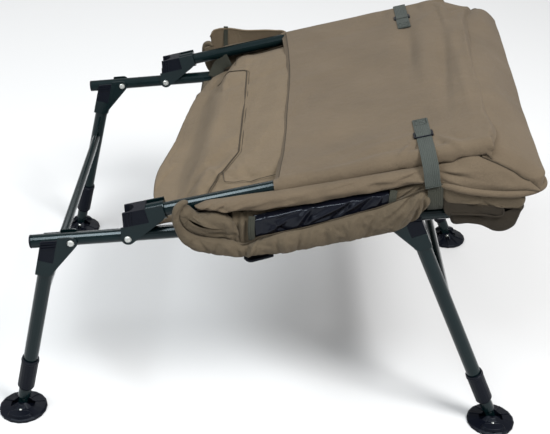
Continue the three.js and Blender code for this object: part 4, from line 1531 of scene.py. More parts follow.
@dataclass
class SeatPad:
    """The mattress between the rails and its rolled sides with their pockets.

    Attributes:
        rear: the station of the mattress's rear edge.
        front: that of its front edge.
        half: half its width.
        core: the outer roll's middle line, as (u, w) with its width and its outward place.
        roll_folds: the roll's pinches and pleats.
        welt: the seam above the roll.
        welt_out: how far from the chair's middle it lies.
        crown: the top of the side above it.
        wall_rear: the station where that side starts.
        wall_out: how far from the chair's middle it lies.
        wall_folds: its folds.
        pillow: the pocket's outline.
        pillow_back: how far from the chair's middle the pocket's inner face lies.
        pillow_rim: how far out its rim lies.
        pillow_swell: how far its middle stands out from the rim.
        pillow_folds: its folds.
    """

    rear: float = -137.0
    front: float = 404.0
    half: float = 282.0
    core: tuple[tuple[float, float, float, float], ...] = (
        (-109, 61, 6, 322), (-117, 63.5, 10, 330), (-125, 59, 12, 336), (-129.5, 46, 12, 338),
        (-127, 27, 14, 338), (-117, 8, 22, 337), (-101, -3, 25, 337), (-83, -9, 27, 337),
        (-54, -17, 28, 337), (-30, -25, 21, 336), (-8, -22, 25, 336), (24, -15, 33, 337),
        (70, -9, 36, 337), (139, 4, 42, 337), (198, 16, 46, 337), (231, 31, 41, 336),
        (252, 46, 30, 333), (262, 56, 16, 328),
    )
    roll_folds: Folds = (
        Fold(-26, -22, 74, 22, 3.4, -6.5), Fold(-16, -16, 64, 20, 4, 4.0),
        Fold(-39, -22, 108, 16, 4, -3.4), Fold(-52, -12, 120, 14, 5, 2.6),
        Fold(-70, -6, 60, 18, 6, -2.4), Fold(24, -14, 96, 22, 4, -3.0),
        Fold(36, -12, 88, 20, 5, 2.6), Fold(58, -8, 76, 22, 5, -2.6),
        Fold(74, -6, 70, 20, 5, 2.4), Fold(100, -2, 96, 22, 6, -2.4),
        Fold(140, 4, 80, 24, 8, 2.2), Fold(170, 8, 60, 26, 5, -2.2),
        Fold(240, 26, 62, 34, 3.6, -9.0), Fold(230, 33, 54, 32, 4.4, 5.0),
        Fold(224, 42, 38, 34, 3.6, -8.0), Fold(212, 30, 44, 30, 5, 3.4),
        Fold(247, 36, 70, 24, 3.4, 4.4), Fold(253, 38, 72, 24, 3.2, -7.5),
        Fold(-112, 10, 40, 18, 5, 2.4), Fold(-96, 0, 130, 18, 4, -2.4),
        Fold(-124, 52, 60, 10, 3, -3.0),
    )
    welt: Curve = (
        (-133, 46), (-124, 31), (-110, 19), (-94, 10), (-66, 0), (-47, -9), (-34, -14), (-22, -12),
        (-6, -3), (24, 2), (68, 9), (139, 25), (198, 40), (216, 46), (252, 62), (262, 64),
    )
    welt_out: float = 338.5
    crown: Curve = (
        (-60, 40), (-41, 36), (-20, 34), (-6, 36), (40, 41), (90, 48), (167, 57), (198, 58), (213, 60),
        (232, 65), (252, 71), (262, 72),
    )
    wall_rear: float = -44.0
    wall_out: float = 331.0
    wall_folds: Folds = (
        Fold(222, 52, 36, 34, 3, 3.6), Fold(232, 56, 34, 34, 3, -4.4), Fold(-30, 14, 84, 26, 3, 4.6),
        Fold(-23, 14, 86, 26, 2.6, -4.4), Fold(-36, 16, 84, 26, 2.6, -3.4),
        Fold(244, 62, 36, 26, 3, 3.8), Fold(-15, 16, 84, 24, 3, 2.4),
    )
    pillow: Curve = (
        (-117, 60), (-128, 55), (-129, 46), (-123, 29), (-110, 14), (-93, 4), (-66, -6), (-48, -14),
        (-38, -17), (-35, 0), (-40, 20), (-48, 32), (-60, 41), (-72, 44), (-84, 43), (-94, 42),
        (-102, 48), (-109, 56),
    )
    pillow_back: float = 322.0
    pillow_rim: float = 326.0
    pillow_swell: float = 17.0
    pillow_folds: Folds = (
        Fold(-104, 44, -50, 16, 3, -3.4), Fold(-96, 38, -40, 22, 4, 3.0),
        Fold(-72, 28, -24, 24, 5, -2.0), Fold(-50, 16, 80, 24, 4, 2.4),
        Fold(-43, 10, 84, 22, 3, -3.4), Fold(-62, 8, -14, 20, 3.4, -2.4),
        Fold(-112, 34, 60, 14, 3, -2.4), Fold(-84, 18, -30, 18, 3, -1.8),
    )

    def mattress(self) -> Piece:
        """The mattress: a loop round each cross-section between the sling and the shared height.

        Returns:
            The piece.
        """
        rows = column(100)
        c, s = circle(120)
        y = self.half * squared(c, 0.4)
        u = self.rear + (self.front - self.rear) * rows
        ends = quarter(1 - rows / 0.07) * quarter((rows - 0.96) / 0.04)
        top = split(u) - 1.5
        low = -9 + 23 * eased(286, 300, u)
        w = (top + low) / 2 + (top - low) / 2 * ends * squared(s, 0.55)
        w = w - 3.5 * np.abs(c) ** 3 * np.sign(s) * ends
        return Skin("seat_mattress", RAILS.place(u, y, w), around=True).build(Finishes.ROLL)

    def band(self, side: Side) -> Piece:
        """The outer roll: an oval carried along the core line, with pinches and pleats.

        At each point of the line the oval's width lies square to the line on the chair's side, and
        its depth points outwards.

        Args:
            side: the chair's side.

        Returns:
            The piece.
        """
        line = through(self.core, 190)
        u, w, width, place = line.T[:, :, None]
        ahead = np.gradient(line[:, :2], axis=0)
        ahead /= np.linalg.norm(ahead, axis=1, keepdims=True)
        step = np.arange(len(line))[:, None] / (len(line) - 1)
        ends = quarter(1 - step / 0.02, 0.02) * quarter((step - 0.95) / 0.05, 0.05)
        c, s = circle(52)
        swing = squared(c, 0.85) * width / 2 * ends
        bu, bw = u + ahead[:, 1:] * swing, w - ahead[:, :1] * swing
        depth = (7 + 7 * eased(10, 26, width)) * ends
        out = place + depth * squared(s, 0.8) + folded(self.roll_folds, bu, bw) * np.clip(s + 0.35, 0, 1)
        grid = RAILS.place(bu, side.value * (out + 1.2 * ripple(bu, bw, 60, 41)), bw)
        return closed(f"seat_band_{side}", grid).build(Finishes.ROLL)

    def pocket(self, side: Side) -> Piece:
        """The stuffed pocket at the rear of a side.

        Its outline is a bean. Rings of it, drawn in towards a line through its middle, stand out by
        the square root of one less the ring's size to the power of 2.4.

        Args:
            side: the chair's side.

        Returns:
            The piece.
        """
        outline = through(self.pillow + self.pillow[:1], 97)[:-1]
        rings = np.concatenate([np.linspace(1, 0.7, 14)[:-1], np.linspace(0.7, 0.0, 16)])[:, None]
        spine_u = np.clip(outline[:, 0], -112, -56)
        spine_w = read(((-120, 52), (-108, 40), (-84, 26), (-56, 16)), spine_u)
        u = spine_u + (outline[:, 0] - spine_u) * rings
        w = spine_w + (outline[:, 1] - spine_w) * rings
        front = self.pillow_rim + self.pillow_swell * np.sqrt(1 - rings ** 2.4)
        front = front + folded(self.pillow_folds, u, w) * (1 - rings ** 4)
        back = RAILS.place(u[::-1][:-1], side.value * self.pillow_back, w[::-1][:-1])
        grid = np.concatenate([back, RAILS.place(u, side.value * front, w)])
        return Skin(f"seat_pocket_{side}", grid, around=True).build(Finishes.ROLL)

    def side_wall(self, side: Side) -> Piece:
        """The flat side behind the coated panel, from the welt up to under the back's roll.

        Args:
            side: the chair's side.

        Returns:
            The piece.
        """
        u = np.linspace(self.wall_rear, self.welt[-1][0], 110)
        rows = column(26)
        low, top = read(self.welt, u) - 6, read(self.crown, u)
        w = low + (top - low) * rows
        inward = 14 * eased(0.72, 1.0, rows) + 3 * eased(232, 262, u)
        y = self.wall_out - inward + folded(self.wall_folds, u, w)
        grid = RAILS.place(u, side.value * y, w)
        return Skin(f"seat_wall_{side}", grid).build(Finishes.ROLL, wall=1.6)

    def side_welt(self, side: Side) -> Piece:
        """The piping in the seam between the roll and what lies above it.

        Args:
            side: the chair's side.

        Returns:
            The piece.
        """
        u, w = through(self.welt, 170).T
        out = self.welt_out + 0.64 * np.sin(u / 9.0)
        placed = RAILS.place(u, side.value * out, w + 0.5)
        return seam(f"seat_welt_{side}", placed, sideways(side.value, 0.2), 2.4, 2.2)

    def sling_tab(self, side: Side) -> Piece:
        """The black plastic tab at the end of a sling strap, under the roll.

        Args:
            side: the chair's side.

        Returns:
            The piece.
        """
        u, w = through([(-31, -43), (-27, -48), (-8, -47), (14, -42)], 20).T
        grid = carried(RAILS.place(u, side.value * 322, w), flat_oval(22, 6, 16, 0.4), RAILS.up())
        tab = closed(f"sling_tab_{side}", grid)
        return tab.build(Finishes.MOULDING, "moulding")

    def build(self) -> None:
        """Makes the seat's pieces, which ride on the seat frame."""
        mattress = self.mattress()
        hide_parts("seat_pad")
        pieces = [mattress]
        for side in Side:
            band, pocket = self.band(side), self.pocket(side)
            u, y, w = on_slope(RAILS, vertex_places(band))
            held = (np.abs(y) < 337) | (np.abs(w - read(self.welt, u)) < 4) | (u < -112)
            Filling(2.5, 4.0, 0.05).fill(band, np.where(held, 1.0, 0.0))
            u, y, w = on_slope(RAILS, vertex_places(pocket))
            Filling(3.0, 4.0, 0.06).fill(pocket, np.where(np.abs(y) < 330, 1.0, 0.0))
            wall = self.side_wall(side)
            pieces += [band, pocket, wall, self.side_welt(side), self.sling_tab(side)]
        settled(pieces, "seat_frame")


@dataclass
class Sling:
    """The cloth under the mattress, sewn round both rails.

    Attributes:
        rear: the station of its rear edge.
        sleeve_end: where its sleeves round the rails end.
        front: where its narrower front part ends.
        radius: the radius of the sleeves.
        half_front: half the front part's width.
        wall: its thickness.
    """

    rear: float = -118.0
    sleeve_end: float = 178.0
    front: float = 292.0
    radius: float = 12.0
    half_front: float = 287.0
    wall: float = 1.3

    def build(self) -> None:
        """Makes the sling: level under the mattress, then round each rail by nearly a whole turn."""
        along = column(70)
        flat = np.linspace(-RAIL_Y, RAIL_Y, 120)
        turn = np.linspace(0, math.radians(330), 34)
        right_y = -RAIL_Y - self.radius * np.sin(turn)
        right_w = -self.radius * np.cos(turn)
        y = np.concatenate([right_y[::-1], flat[1:-1], -right_y])
        w = np.concatenate([right_w[::-1], np.full(len(flat) - 2, -self.radius), right_w])
        u = self.rear + (self.sleeve_end - self.rear) * along
        sag = 1.6 * np.cos(np.clip(y / RAIL_Y, -1, 1) * math.pi / 2) * np.sin(math.pi * along)
        wide = Skin("sling", RAILS.place(u, y, w - sag))
        u = np.linspace(self.sleeve_end - 2, self.front, 30)[:, None]
        y = np.linspace(-self.half_front, self.half_front, 80)
        narrow = Skin("front", RAILS.place(u, y, -self.radius))
        # Both parts wear the darkened canvas, which is painted shade for the sling's place under the
        # mattress.
        parts = [baked(part.build(Finishes.SHADE, wall=self.wall)) for part in (wide, narrow)]
        piece = merged("seat_sling_cloth", parts)
        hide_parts("seat_sling")
        settled([piece], "seat_frame")


@dataclass
class FrontBox:
    """The padded cover over the front of the seat: an upper pillow, a hemmed flap and a pocket.

    Attributes:
        half: half its width.
        pillow: the upper pillow's outline, seen from the side.
        flap: the flap's outline.
        pocket: the pocket's outline.
    """

    half: float = 334.0
    pillow: Curve = (
        (281, 64), (318, 55), (340, 51), (363, 46), (390, 40), (404, 36), (409, 30), (409, 22),
        (405, 15), (390, 14.5), (371, 17), (345, 22), (324, 26), (300, 30), (286, 34), (279, 50),
    )
    flap: Curve = (
        (285, 42), (324, 30), (350, 24), (376, 18), (377, 11), (376, 5), (358, 5), (339, 7), (318, 9),
        (288, 13), (285, 20),
    )
    pocket: Curve = (
        (295, 14), (318, 9), (339, 6), (376, 5), (392, 10), (404, 17), (408, 12), (404, 2), (401, -8),
        (396, -19), (386, -25), (375, -29), (362, -28), (350, -20), (338, -13), (318, -10), (297, -8),
        (294, 2),
    )

    def bolster(self, name: str, outline: Curve, half: float, round_off: float,
                finish: Finishes, seed: int) -> Piece:
        """A stuffed shape across the seat: its outline in (u, w), carried along y.

        Near both ends the outline is drawn in towards its middle along a quarter of a circle, and
        the last ring is closed flat.

        Args:
            name: the piece's name.
            outline: the outline's points.
            half: half its width.
            round_off: the radius of its ends.
            finish: its finish.
            seed: picks its unevenness.

        Returns:
            The piece.
        """
        loop = through(outline + outline[:1], 91)[:-1]
        middle = loop.mean(0)
        turn = np.linspace(0, math.pi / 2, 10)
        tail = half - round_off + round_off * np.sin(turn)
        level = np.linspace(-half + round_off, half - round_off, 130)[1:-1]
        y = np.concatenate([-tail[::-1], level, tail])[:, None]
        inset = np.maximum(np.abs(y) - (half - round_off), 0) / round_off
        drawn = round_off * (1 - quarter(inset))
        away = loop - middle
        size = np.linalg.norm(away, axis=1)
        scale = 1 - drawn / size
        u = middle[0] + away[:, 0] * scale
        w = middle[1] + away[:, 1] * scale
        swell = 1.5 * ripple(y, w * 2 + u, 90, seed)
        u = u + swell * (away[:, 0] / size)
        w = w + swell * (away[:, 1] / size)
        side = 1.4 * ripple(u, w, 45, seed + 1) * np.sign(y) * (np.abs(y) > half - 1)
        return closed(name, RAILS.place(u, y + side, w)).build(finish)

    def edge(self, name: str, points: Curve, place: float, way: float, *look: Any) -> Piece:
        """A seam along points of (u, w) on the box's end, at a place across the chair."""
        u, w = through(points, 60).T
        return seam(name, RAILS.place(u, way * place, w), sideways(way), *look)

    def build(self) -> None:
        """Makes the box's pieces, which ride on the seat frame."""
        upper = self.bolster("front_pillow", self.pillow, self.half + 1, 9, Finishes.ROLL, 51)
        # The flap and the pocket wear the darkened canvas, which is painted shade for their shaded
        # faces.
        flap = self.bolster("front_flap", self.flap, self.half, 1.5, Finishes.SHADE, 71)
        lower = self.bolster("front_pocket", self.pocket, self.half - 4, 7, Finishes.SHADE, 61)
        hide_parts("seat_front_sleeve")
        pieces = [upper, lower, flap]
        hem = ((295, 13), (318, 10.5), (339, 8), (375, 6.5), (375.5, 15))
        top = ((292, 36), (324, 27), (371, 17), (404, 14))
        # The hems wear the same painted-shade canvas.
        look = (3.0, 2.0, Finishes.SHADE)
        for side in Side:
            way = side.value
            pieces.append(self.edge(f"front_hem_{side}", hem, self.half + 1, way, *look))
            pieces.append(self.edge(f"front_seam_{side}", top, self.half - 1, way, 2.0, 1.6))
        settled(pieces, "seat_frame")


@dataclass
class RainPanels:
    """The glossy coated strips on the seat's sides, each held by a tab of webbing at both ends.

    Attributes:
        low: a strip's lower edge.
        high: its upper edge.
        out: how far from the chair's middle it lies.
        tabs: each tab's station, lower end, upper end and width.
        folds: the strip's folds.
    """

    low: Curve = ((-10, -3), (24, 3), (68, 9), (139, 24), (202, 39))
    high: Curve = ((-8, 32), (40, 40), (90, 47), (167, 56), (202, 60))
    out: float = 334.4
    tabs: tuple[tuple[float, float, float, float], ...] = ((-15, -7, 34, 10.5), (206, 39, 62, 11))
    folds: Folds = (
        Fold(22, 12, 36, 22, 3.4, 5.0), Fold(33, 8, -34, 18, 3.4, -4.2), Fold(62, 22, 58, 26, 4, 5.6),
        Fold(75, 24, 60, 24, 3.6, -5.0), Fold(92, 28, 34, 20, 3, 3.6), Fold(108, 34, 26, 32, 4, 4.6),
        Fold(122, 28, 40, 26, 3.4, -4.4), Fold(150, 44, 36, 30, 4, 4.8),
        Fold(166, 42, 48, 24, 3.4, -4.0), Fold(186, 50, 66, 20, 3.4, 3.4),
        Fold(6, 20, 78, 20, 3, -2.6), Fold(48, 32, 16, 30, 3.4, -3.4),
        Fold(90, 16, 10, 26, 3.4, 3.0), Fold(136, 34, 70, 16, 3, -3.0),
    )

    def strip(self, side: Side) -> Piece:
        """A creased strip, ruled between its lower and its upper edge.

        Args:
            side: the chair's side.

        Returns:
            The piece.
        """
        u = np.linspace(self.low[0][0], self.low[-1][0], 150)
        rows = column(48)
        w = read(self.low, u) * (1 - rows) + read(self.high, u) * rows
        full = np.sin(math.pi * rows) ** 0.5
        creases = folded(self.folds, u, w) * full * 0.8
        y = self.out - 8 * eased(0.8, 1.0, rows) + 1.2 * full + creases
        grid = RAILS.place(u, side.value * y, w)
        return Skin(f"rain_panel_{side}", grid).build(Finishes.COATED, "coated", 0.8)

    def holders(self, side: Side) -> Piece:
        """The webbing tabs at both ends of a strip.

        Args:
            side: the chair's side.

        Returns:
            The piece.
        """
        made = []
        for station, low, high, width in self.tabs:
            line = through([
                (station - 1, 337, low), (station, 338.4, (low + high) / 2), (station + 3, 333, high),
            ], 16)
            look = (width, 1.4, Finishes.DARK_WEBBING)
            made.append(strap("tab", RAILS.line(line, side.value), sideways(side.value), *look))
        return merged(f"rain_tabs_{side}", made)

    def build(self) -> None:
        """Makes both strips and their tabs, which ride on the seat frame."""
        for side in Side:
            sheet = self.strip(side)
            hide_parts(f"rain_strip_{side}")
            settled([sheet, self.holders(side)], "seat_frame")


@dataclass
class Straps:
    """The two webbing straps over the hood, their sliders, and their loops round the rails.

    Attributes:
        hood: what they lie on.
        loop: the station of the loop round the rail.
        tab: the width and thickness of a tab.
        tail: those of a tail.
        band: those of a loop.
        stations: for each side, the strap's station and where its tab and slider start.
    """

    hood: Hood = field(default_factory=Hood)
    loop: float = 272.0
    tab: tuple[float, float] = (24.5, 2.6)
    tail: tuple[float, float] = (24.0, 1.8)
    band: tuple[float, float] = (23.5, 1.6)
    stations: tuple[tuple[Side, float, float, float], ...] = (
        (Side.RIGHT, 488, 206, 258), (Side.LEFT, 502, 190, 243),
    )

    def slider(self, name: str, u: float, y: float, h: float) -> Piece:
        """A ladder slider: three bars across the strap, and one along each of its edges.

        Args:
            name: the piece's name.
            u: its middle's station.
            y: its place across.
            h: its height.

        Returns:
            The piece.
        """
        parts = []
        for bar in (-6.5, 0.0, 6.5):
            line = BACK.place(np.linspace(u - 13.5, u + 13.5, 16), y + bar, h)
            parts.append(carried(line, flat_oval(2.8, 2.2, 10, 0.8), BACK.up()))
        for end in (-13.8, 13.8):
            line = BACK.place(u + end, np.linspace(y - 8, y + 8, 12), h + 0.3)
            parts.append(carried(line, flat_oval(3.2, 3.4, 10, 0.8), BACK.up()))
        bars = [closed("bar", grid) for grid in parts]
        return merged(name, [bar.build(Finishes.MOULDING, "moulding") for bar in bars])

    def tail_line(self, station: float, start: float, way: float) -> Array:
        """The strap's line from its slider over the hood's edge and down its side.

        Args:
            station: the strap's station.
            start: how far out it leaves the slider.
            way: -1 on the right and 1 on the left.

        Returns:
            The line's points in metres.
        """
        y = np.linspace(start, 303, 8)
        height = self.hood.over(station, way * y) + 1.4
        height[:2] += 1.8, 1.2
        rows = [(station + 0.5, float(v), float(top)) for v, top in zip(y, height)]
        rows += [(station + 0.5, 314, 13.6), (station + 0.5, 325, 8.5), (station + 0.5, 333.5, 0),
                 (station, 338.5, -10), (station - 1, 340, -22), (station - 1.5, 340, -34)]
        return BACK.line(through(rows, 80), way)

    def build(self) -> None:
        """Makes tab, slider and tail on the hood, and the loop and upright on each rail."""
        for side, station, tab, buckle in self.stations:
            way = side.value
            y = np.linspace(tab, buckle - 2, 18)
            first = BACK.place(station, way * y, self.hood.over(station, way * y) + 1.5)
            tab_piece = strap(f"strap_tab_{side}", first, BACK.up(), *self.tab)
            cross = self.stitching(f"strap_stitch_{side}", station, tab, way)
            middle = float(self.hood.over(station, np.array([way * buckle]))[0]) + 1.6
            slider = self.slider(f"strap_slider_{side}", station, way * (buckle + 3), middle)
            placed = self.tail_line(station, buckle - 5, way)
            tail = strap(f"strap_tail_{side}", placed, self.outward(placed, way, BACK), *self.tail)
            end = BACK.place(np.linspace(station - 13.5, station + 10.5, 10), way * 340.2, -34.6)
            edge = seam(f"strap_end_{side}", end, sideways(way), 2.2, 2.6, Finishes.WEBBING)
            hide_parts(f"hood_strap_{side}")
            settled([tab_piece, cross, slider, tail, edge], "backrest")
            self.rail_loop(side)

    @staticmethod
    def outward(line: Array, way: float, slope: Slope) -> Array:
        """For a line that runs down a side, the direction square to it and to the chair's length.

        Args:
            line: the line's points in metres.
            way: -1 on the right and 1 on the left.
            slope: the slope it is on.

        Returns:
            A direction for each point.
        """
        ahead = np.gradient(line, axis=0)
        facing = np.cross(ahead, np.broadcast_to(slope.along(), ahead.shape)) * way
        facing *= np.sign(facing @ np.array([0, way * 0.7, 0.7]))[:, None]
        return facing / np.linalg.norm(facing, axis=1, keepdims=True)

    def stitching(self, name: str, station: float, start: float, way: float) -> Piece:
        """A box with a cross, sewn through the tab.

        Args:
            name: the piece's name.
            station: the strap's station.
            start: how far out the tab starts.
            way: -1 on the right and 1 on the left.

        Returns:
            The piece.
        """
        box = ((-9, 3), (9, 3), (9, 22), (-9, 22), (-9, 3), (9, 22), (9, 3), (-9, 22))
        parts = []
        for (a, b), (c, d) in zip(box[:-1], box[1:]):
            u = np.linspace(station + a, station + c, 8)
            y = np.linspace(start + b, start + d, 8)
            line = BACK.place(u, way * y, self.hood.over(station, way * y) + 2.9)
            parts.append(seam("stitch", line, BACK.up(), 1.0, 0.8, Finishes.WEBBING))
        return merged(name, parts)

    def rail_loop(self, side: Side) -> None:
        """The webbing round a rail, and its end that stands up behind the hood's strap.

        Args:
            side: the chair's side.
        """
        radius = TUBE_RADIUS + 1.4
        turn = np.linspace(math.radians(95), math.radians(262), 30)
        under = [(self.loop, RAIL_Y + radius * math.cos(t), radius * math.sin(t)) for t in turn]
        upright = [
            (0, 334, 68), (-0.5, 337, 56), (-1, 338, 42), (-1, 336, 30), (-1, 328, 21), (0, 317, 14.5),
        ]
        rows = [(self.loop + aside, y, w) for aside, y, w in upright] + under
        placed = RAILS.line(through(rows, 110), side.value)
        # The loop's webbing is darkened in part as painted shade.
        look = (*self.band, Finishes.DARK_WEBBING)
        piece = strap(f"rail_loop_{side}", placed, self.outward(placed, side.value, RAILS), *look)
        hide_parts(f"rail_strap_{side}")
        settled([piece], "seat_frame")


@dataclass
class RearTies:
    """The far side's standing flap with its webbing, and the tie to the rail.

    Attributes:
        foot: the height of the flap's bottom edge.
        high: its top edge.
        tie: the line of the webbing on the flap.
        band: that of the tie at the rail.
    """

    foot: float = 22.0
    high: Curve = (
        (-112, 80), (-106, 91), (-96, 95), (-78, 95), (-41, 88), (20, 82), (44, 76), (60, 56),
    )
    tie: tuple[tuple[float, ...], ...] = ((-84, 326, 40), (-82, 326.5, 70), (-78, 323, 100))
    band: tuple[tuple[float, ...], ...] = (
        (-112, 293, 2), (-106, 296, 14), (-100, 298, 24), (-90, 296, 33), (-76, 290, 40),
    )

    def build(self) -> None:
        """Makes the flap ruled between its edges, a hem, a strip of webbing on it, and the tie."""
        u = np.linspace(self.high[0][0], self.high[-1][0], 60)
        rows = column(30)
        w = self.foot + (read(self.high, u) - self.foot) * rows
        y = 331 + 3 * np.sin(math.pi * rows) + 0.8 * ripple(u, w, 80, 81) - 8 * rows
        grid = RAILS.place(u, y, w)
        flap = Skin("rear_flap", grid).build(Finishes.PAD, wall=2.4)
        hem = seam("rear_flap_hem", grid[-1], sideways(-1), 4.2, 3.6, Finishes.PAD)
        line = RAILS.line(through(self.tie, 24))
        tie = strap("rear_flap_tie", line, sideways(-1), 9, 1.6, Finishes.DARK_WEBBING)
        line = RAILS.line(through(self.band, 24))
        band = strap("rail_tie", line, sideways(-1, 0.2), 26, 1.8, Finishes.DARK_WEBBING)
        settled([flap, hem, tie, band], "seat_frame")


@dataclass
class MudFeet:
    """The raised wedge with a half-moon on each round foot, the ribs behind it, and the bolt.

    Attributes:
        foot_x: how far before and behind the chair's middle the feet stand.
        inner: the wedge's start on the disc, from the foot's middle.
        outer: its end.
        moon: where the half-moon's middle lies.
        moon_half: half its length.
        ribs: the ribs' turns round the foot, in degrees.
        bolt_out: how far outside the foot's middle the bolt's head stands.
        bolt_radius: the radius of that head.
    """

    foot_x: float = 416.3
    inner: float = 13.5
    outer: float = 38.0
    moon: float = 31.0
    moon_half: float = 7.6
    ribs: tuple[float, ...] = (20, 55, 90, 125, 160)
    bolt_out: float = 20.0
    bolt_radius: float = 2.7

    @staticmethod
    def top(reach: Array) -> Array:
        """The disc's height at a distance from its middle, as the foot is turned."""
        return np.interp(reach, [13.0, 18.8, 38.9, 41.8], [17.0, 10.8, 6.5, 4.5])

    def wedge(self, x: float, way: float) -> Piece:
        """A wedge that falls from the hub towards the rim on the foot's outer side.

        It is a fan of turns, whose height is the disc's plus a rise that ends at the sides, and it
        ends in a half-moon.

        Args:
            x: where the foot stands, to the front.
            way: -1 on the right and 1 on the left.

        Returns:
            The piece.
        """
        share = np.linspace(-1, 1, 46)[:, None]
        reach = np.linspace(self.inner, self.outer, 40)
        spread = read(((self.inner, 26), (24, 38), (31, 43), (self.outer, 36)), reach)
        turn = np.radians(90 * way + spread * share)
        oval = np.hypot(share * 1.02, (reach - self.moon) / self.moon_half)
        groove = 1.7 * np.exp(-((oval - 1.08) / 0.12) ** 2) * (reach < self.moon)
        moon = 2.2 * eased(1.0, 0.86, oval) - groove
        rise = 3.0 * eased(1, 0.82, np.abs(share)) * eased(self.outer, 36.2, reach) + moon
        height = self.top(reach) + rise - 0.4 * (reach < 14)
        grid = np.stack([x + reach * np.cos(turn), way * RAIL_Y + reach * np.sin(turn), height], -1)
        return Skin("wedge", grid * MILLIMETRE).build(Finishes.MOULDING, "moulding")

    def rib(self, x: float, way: float, turn: float) -> Piece:
        """An oval carried outwards along the disc.

        Args:
            x: where the foot stands, to the front.
            way: -1 on the right and 1 on the left.
            turn: its turn round the foot, in degrees.

        Returns:
            The piece.
        """
        reach = np.linspace(15.5, 38.5, 10)
        turn = math.radians(turn) * -way
        c, s = math.cos(turn), math.sin(turn)
        line = np.stack([x + reach * c, way * RAIL_Y + reach * s, self.top(reach) + 0.1], -1)
        grid = carried(line * MILLIMETRE, flat_oval(2.0, 2.2, 8, 0.8), np.array([0, 0, 1.0]))
        return closed("rib", grid).build(Finishes.MOULDING, "moulding")

    def bolt(self, name: str, x: float, way: float) -> Piece:
        """The zinc head on the wedge, next to the hub: a dome of rings.

        Args:
            name: the piece's name.
            x: where the foot stands, to the front.
            way: -1 on the right and 1 on the left.

        Returns:
            The piece.
        """
        c, s = circle(24)
        lift = np.linspace(math.pi / 2, 0, 10)[:, None]
        reach = self.bolt_radius * np.sin(lift)
        middle = way * (RAIL_Y + self.bolt_out)
        height = 13.0 + 2.0 * np.cos(lift) + 0 * c
        grid = np.stack([x + reach * c, middle + reach * s, height], -1)
        rings = np.concatenate([grid[:1] - [0, 0, 1.5], grid]) * MILLIMETRE
        return closed(name, rings).build(Finishes.ZINC, "rivet")

    def build(self) -> None:
        """Makes every foot's wedge, ribs and bolt, which ride on that foot."""
        for end, x in (("rear", -self.foot_x), ("front", self.foot_x)):
            for side in Side:
                way = side.value
                parts = [self.wedge(x, way)] + [self.rib(x, way, turn) for turn in self.ribs]
                face = merged(f"{end}_foot_face_{side}", parts)
                bolt = self.bolt(f"{end}_foot_bolt_{side}", x, way)
                settled([face, bolt], f"{end}_mud_foot_{side}")


@dataclass
class Hardware:
    """The CAD's own metal and moulded nodes, with their finishes and broken edges.

    Attributes:
        finishes: the finish of each material slot.
        edge: the width of a broken edge, in millimetres.
        sharp: the turn between two faces from which an edge is broken, in radians.
    """

    finishes: dict[str, Finishes] = field(default_factory=lambda: {
        "frame": Finishes.TUBE, "moulding": Finishes.MOULDING, "rivet": Finishes.ZINC,
    })
    edge: float = 0.45
    sharp: float = math.radians(38)

    def dress(self, frame: dict[str, Any]) -> None:
        """Gives every rigid node its finish, and a bevel that breaks its sharp edges.

        Args:
            frame: the frame that was loaded.
        """
        slots = {row["node"]: row["material_slot"] for row in frame["record"]["subparts"]}
        for name, node in frame["nodes"].items():
            finish = self.finishes.get(slots[name])
            if finish is None:
                continue
            node.data.materials.clear()
            node.data.materials.append(finish.value.material())
            bevel = node.modifiers.new("edges", "BEVEL")
            bevel.width = self.edge * MILLIMETRE
            bevel.segments = 2
            bevel.limit_method = "ANGLE"
            bevel.angle_limit = self.sharp
            LOG.info("dressed %s", name)


# Studio


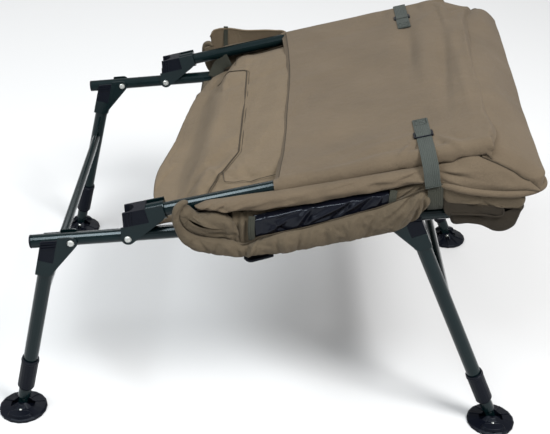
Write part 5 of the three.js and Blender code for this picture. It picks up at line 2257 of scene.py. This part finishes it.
@dataclass(frozen=True)
class Studio:
    """The camera, the lights and the floor.

    Attributes:
        place: the camera's place, in metres.
        down: how far it looks down, in radians.
        aside: how far it is turned to the front of the chair.
        lean: how far it is rolled.
        lens: its focal length, in millimetres.
        sensor: its sensor's width.
        middle: the height of the point that the lights face.
        sky: the strength of the sky's even light.
        reach: how far the floor reaches from the middle.
    """

    place: tuple[float, float, float] = (0.0093, -1.7266, 1.2718)
    down: float = math.radians(31.149)
    aside: float = math.radians(0.434)
    lean: float = math.radians(1.913)
    lens: float = 68.69
    sensor: float = 36.0
    middle: float = 0.35
    sky: float = 0.66
    reach: float = 30.0

    def camera(self) -> None:
        """Sets the camera where the photograph was taken from."""
        ahead = np.array([
            math.sin(self.aside) * math.cos(self.down), math.cos(self.aside) * math.cos(self.down),
            -math.sin(self.down),
        ])
        right = np.array([math.cos(self.aside), -math.sin(self.aside), 0])
        above = np.cross(right, ahead)
        c, s = math.cos(self.lean), math.sin(self.lean)
        data = bpy.data.cameras.new("camera")
        data.lens = self.lens
        data.sensor_width = self.sensor
        data.clip_end = 50
        camera = bpy.data.objects.new("camera", data)
        columns = [c * right + s * above, c * above - s * right, -ahead, np.array(self.place)]
        matrix = np.eye(4)
        matrix[:3] = np.stack(columns, -1)
        camera.matrix_world = Matrix(matrix.tolist())
        bpy.context.scene.collection.objects.link(camera)
        bpy.context.scene.camera = camera

    def light(self, name: str, place: Sequence[float], size: tuple[float, float], power: float,
              colour: tuple[float, float, float] = (1, 1, 1)) -> None:
        """A soft light, wide and high by its size, that faces the chair's middle.

        Args:
            name: the light's name.
            place: its place, in metres.
            size: its width and height.
            power: its power, in watts.
            colour: its colour.
        """
        data = bpy.data.lights.new(name, "AREA")
        data.shape = "RECTANGLE"
        data.size, data.size_y = size
        data.energy = power
        data.color = colour
        lamp = bpy.data.objects.new(name, data)
        back = np.array(place) - [0, 0, self.middle]
        back /= np.linalg.norm(back)
        side = np.cross([0, 0, 1.0], back)
        side /= np.linalg.norm(side)
        matrix = np.eye(4)
        matrix[:3] = np.stack([side, np.cross(back, side), back, np.array(place)], -1)
        lamp.matrix_world = Matrix(matrix.tolist())
        bpy.context.scene.collection.objects.link(lamp)

    def build(self) -> None:
        """Makes the floor, the sky's even light and the soft lights."""
        self.camera()
        x, y = np.meshgrid(*[np.linspace(-self.reach, self.reach, 3)] * 2)
        Skin("floor", np.stack([x, y, 0 * x], -1)).build(Finishes.FLOOR, "")
        world = bpy.data.worlds.new("sky")
        world.use_nodes = True
        sky = world.node_tree.nodes["Background"]
        sky.inputs["Color"].default_value = (1, 1, 1, 1)
        sky.inputs["Strength"].default_value = self.sky
        bpy.context.scene.world = world
        bpy.context.scene.view_settings.view_transform = "Standard"
        self.light("key", (1.5, -1.5, 2.8), (1.0, 1.0), 122)
        self.light("strip", (-1.3, -1.2, 2.9), (3.0, 0.4), 92, (0.9, 0.96, 1.0))
        self.light("left", (-2.6, -1.9, 1.5), (0.8, 0.8), 8, (0.86, 0.93, 1.0))
        self.light("rim", (-0.4, 2.6, 2.4), (2.0, 0.8), 20)


def main(frame: dict[str, Any]) -> None:
    """Builds the chair's sub-assemblies in order.

    Args:
        frame: the frame that was loaded.
    """
    Studio().build()
    Hardware().dress(frame)
    MudFeet().build()
    Sling().build()
    SeatPad().build()
    FrontBox().build()
    RainPanels().build()
    RearTies().build()
    BackPad().build()
    Hood().build()
    Straps().build()


if __name__ == "__main__":
    logging.basicConfig(level=logging.INFO, format="%(name)s: %(message)s")
    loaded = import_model()
    main(loaded)
